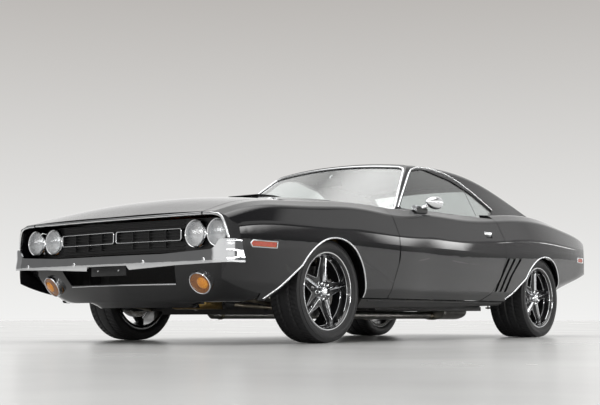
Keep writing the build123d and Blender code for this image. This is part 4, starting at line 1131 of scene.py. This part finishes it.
# ---------------------------------------------------------------- floor and studio
def studio_floor():
    mesh = bpy.data.meshes.new("floor")
    reach = 60
    mesh.from_pydata([(-reach, -reach, 0), (reach, -reach, 0), (reach, reach, 0), (-reach, reach, 0)],
                     [], [(0, 1, 2, 3)])
    floor = bpy.data.objects.new("floor", mesh)
    bpy.context.scene.collection.objects.link(floor)
    mesh.materials.append(finish("studio_floor", (0.47, 0.47, 0.465), (0.52, 0.52, 0.515), 0.7, (0.22, 0.30),
                                 Specular_IOR_Level=0.35))


def smooth_band(nodes, links, value, low, high, bottom, top):
    """Map Range with eased ends, from low..high to bottom..top."""
    node = nodes.new("ShaderNodeMapRange")
    node.interpolation_type = "SMOOTHSTEP"
    node.inputs["From Min"].default_value = low
    node.inputs["From Max"].default_value = high
    node.inputs["To Min"].default_value = bottom
    node.inputs["To Max"].default_value = top
    links.new(value, node.inputs["Value"])
    return node.outputs["Result"]


def calculate(nodes, links, kind, a, b):
    node = nodes.new("ShaderNodeMath")
    node.operation = kind
    for socket, value in zip(node.inputs, (a, b)):
        if isinstance(value, float):
            socket.default_value = value
        else:
            links.new(value, socket)
    return node.outputs[0]


BACK_WALL = (-0.588, 0.809, 0.0)                         # direction the camera looks in
WALL, FRONT, CEILING = 0.95, 0.75, 2.3                   # strengths of the room's lights
STRIPS = ((0.28, 0.56, 0.8), (0.125, 0.185, 12.0))       # low edge, high edge and strength


def studio_world():
    """Soft room: pale walls behind and before the car, a ceiling light, and two strips on its left."""
    world = bpy.data.worlds.new("studio")
    bpy.context.scene.world = world
    world.use_nodes = True
    nodes, links = world.node_tree.nodes, world.node_tree.links
    nodes.clear()
    place = nodes.new("ShaderNodeTexCoord")
    split = nodes.new("ShaderNodeSeparateXYZ")
    links.new(place.outputs["Generated"], split.inputs[0])
    height = split.outputs["Z"]
    dot = nodes.new("ShaderNodeVectorMath")
    dot.operation = "DOT_PRODUCT"
    dot.inputs[1].default_value = BACK_WALL
    links.new(place.outputs["Generated"], dot.inputs[0])
    wall = smooth_band(nodes, links, dot.outputs["Value"], 0.25, 0.85, 0.14, WALL)
    front = smooth_band(nodes, links, dot.outputs["Value"], -0.55, -0.20, FRONT, 0.0)
    wall = calculate(nodes, links, "MAXIMUM", wall, front)
    ceiling = smooth_band(nodes, links, height, 0.62, 0.84, 0.0, CEILING)
    light = calculate(nodes, links, "MAXIMUM", wall, ceiling)
    for low, high, strength in STRIPS:
        rise = smooth_band(nodes, links, height, low, low + 0.03, 0.0, 1.0)
        fall = smooth_band(nodes, links, height, high - 0.03, high, 1.0, 0.0)
        beside = smooth_band(nodes, links, split.outputs["X"], 0.10, 0.40, 0.0, strength)
        strip = calculate(nodes, links, "MULTIPLY", calculate(nodes, links, "MULTIPLY", rise, fall), beside)
        light = calculate(nodes, links, "MAXIMUM", light, strip)
    room = nodes.new("ShaderNodeBackground")
    links.new(light, room.inputs["Strength"])
    room.inputs["Color"].default_value = (1.0, 0.995, 0.985, 1)
    ramp = nodes.new("ShaderNodeValToRGB")
    ramp.color_ramp.elements[0].position = 0.0
    ramp.color_ramp.elements[0].color = (0.88, 0.88, 0.87, 1)
    ramp.color_ramp.elements[1].position = 0.30
    ramp.color_ramp.elements[1].color = (0.47, 0.45, 0.43, 1)
    links.new(height, ramp.inputs["Fac"])
    view = nodes.new("ShaderNodeBackground")
    links.new(ramp.outputs["Color"], view.inputs["Color"])
    path = nodes.new("ShaderNodeLightPath")
    mix = nodes.new("ShaderNodeMixShader")
    links.new(path.outputs["Is Camera Ray"], mix.inputs["Fac"])
    links.new(room.outputs[0], mix.inputs[1])
    links.new(view.outputs[0], mix.inputs[2])
    output = nodes.new("ShaderNodeOutputWorld")
    links.new(mix.outputs[0], output.inputs["Surface"])


studio_floor()
studio_world()
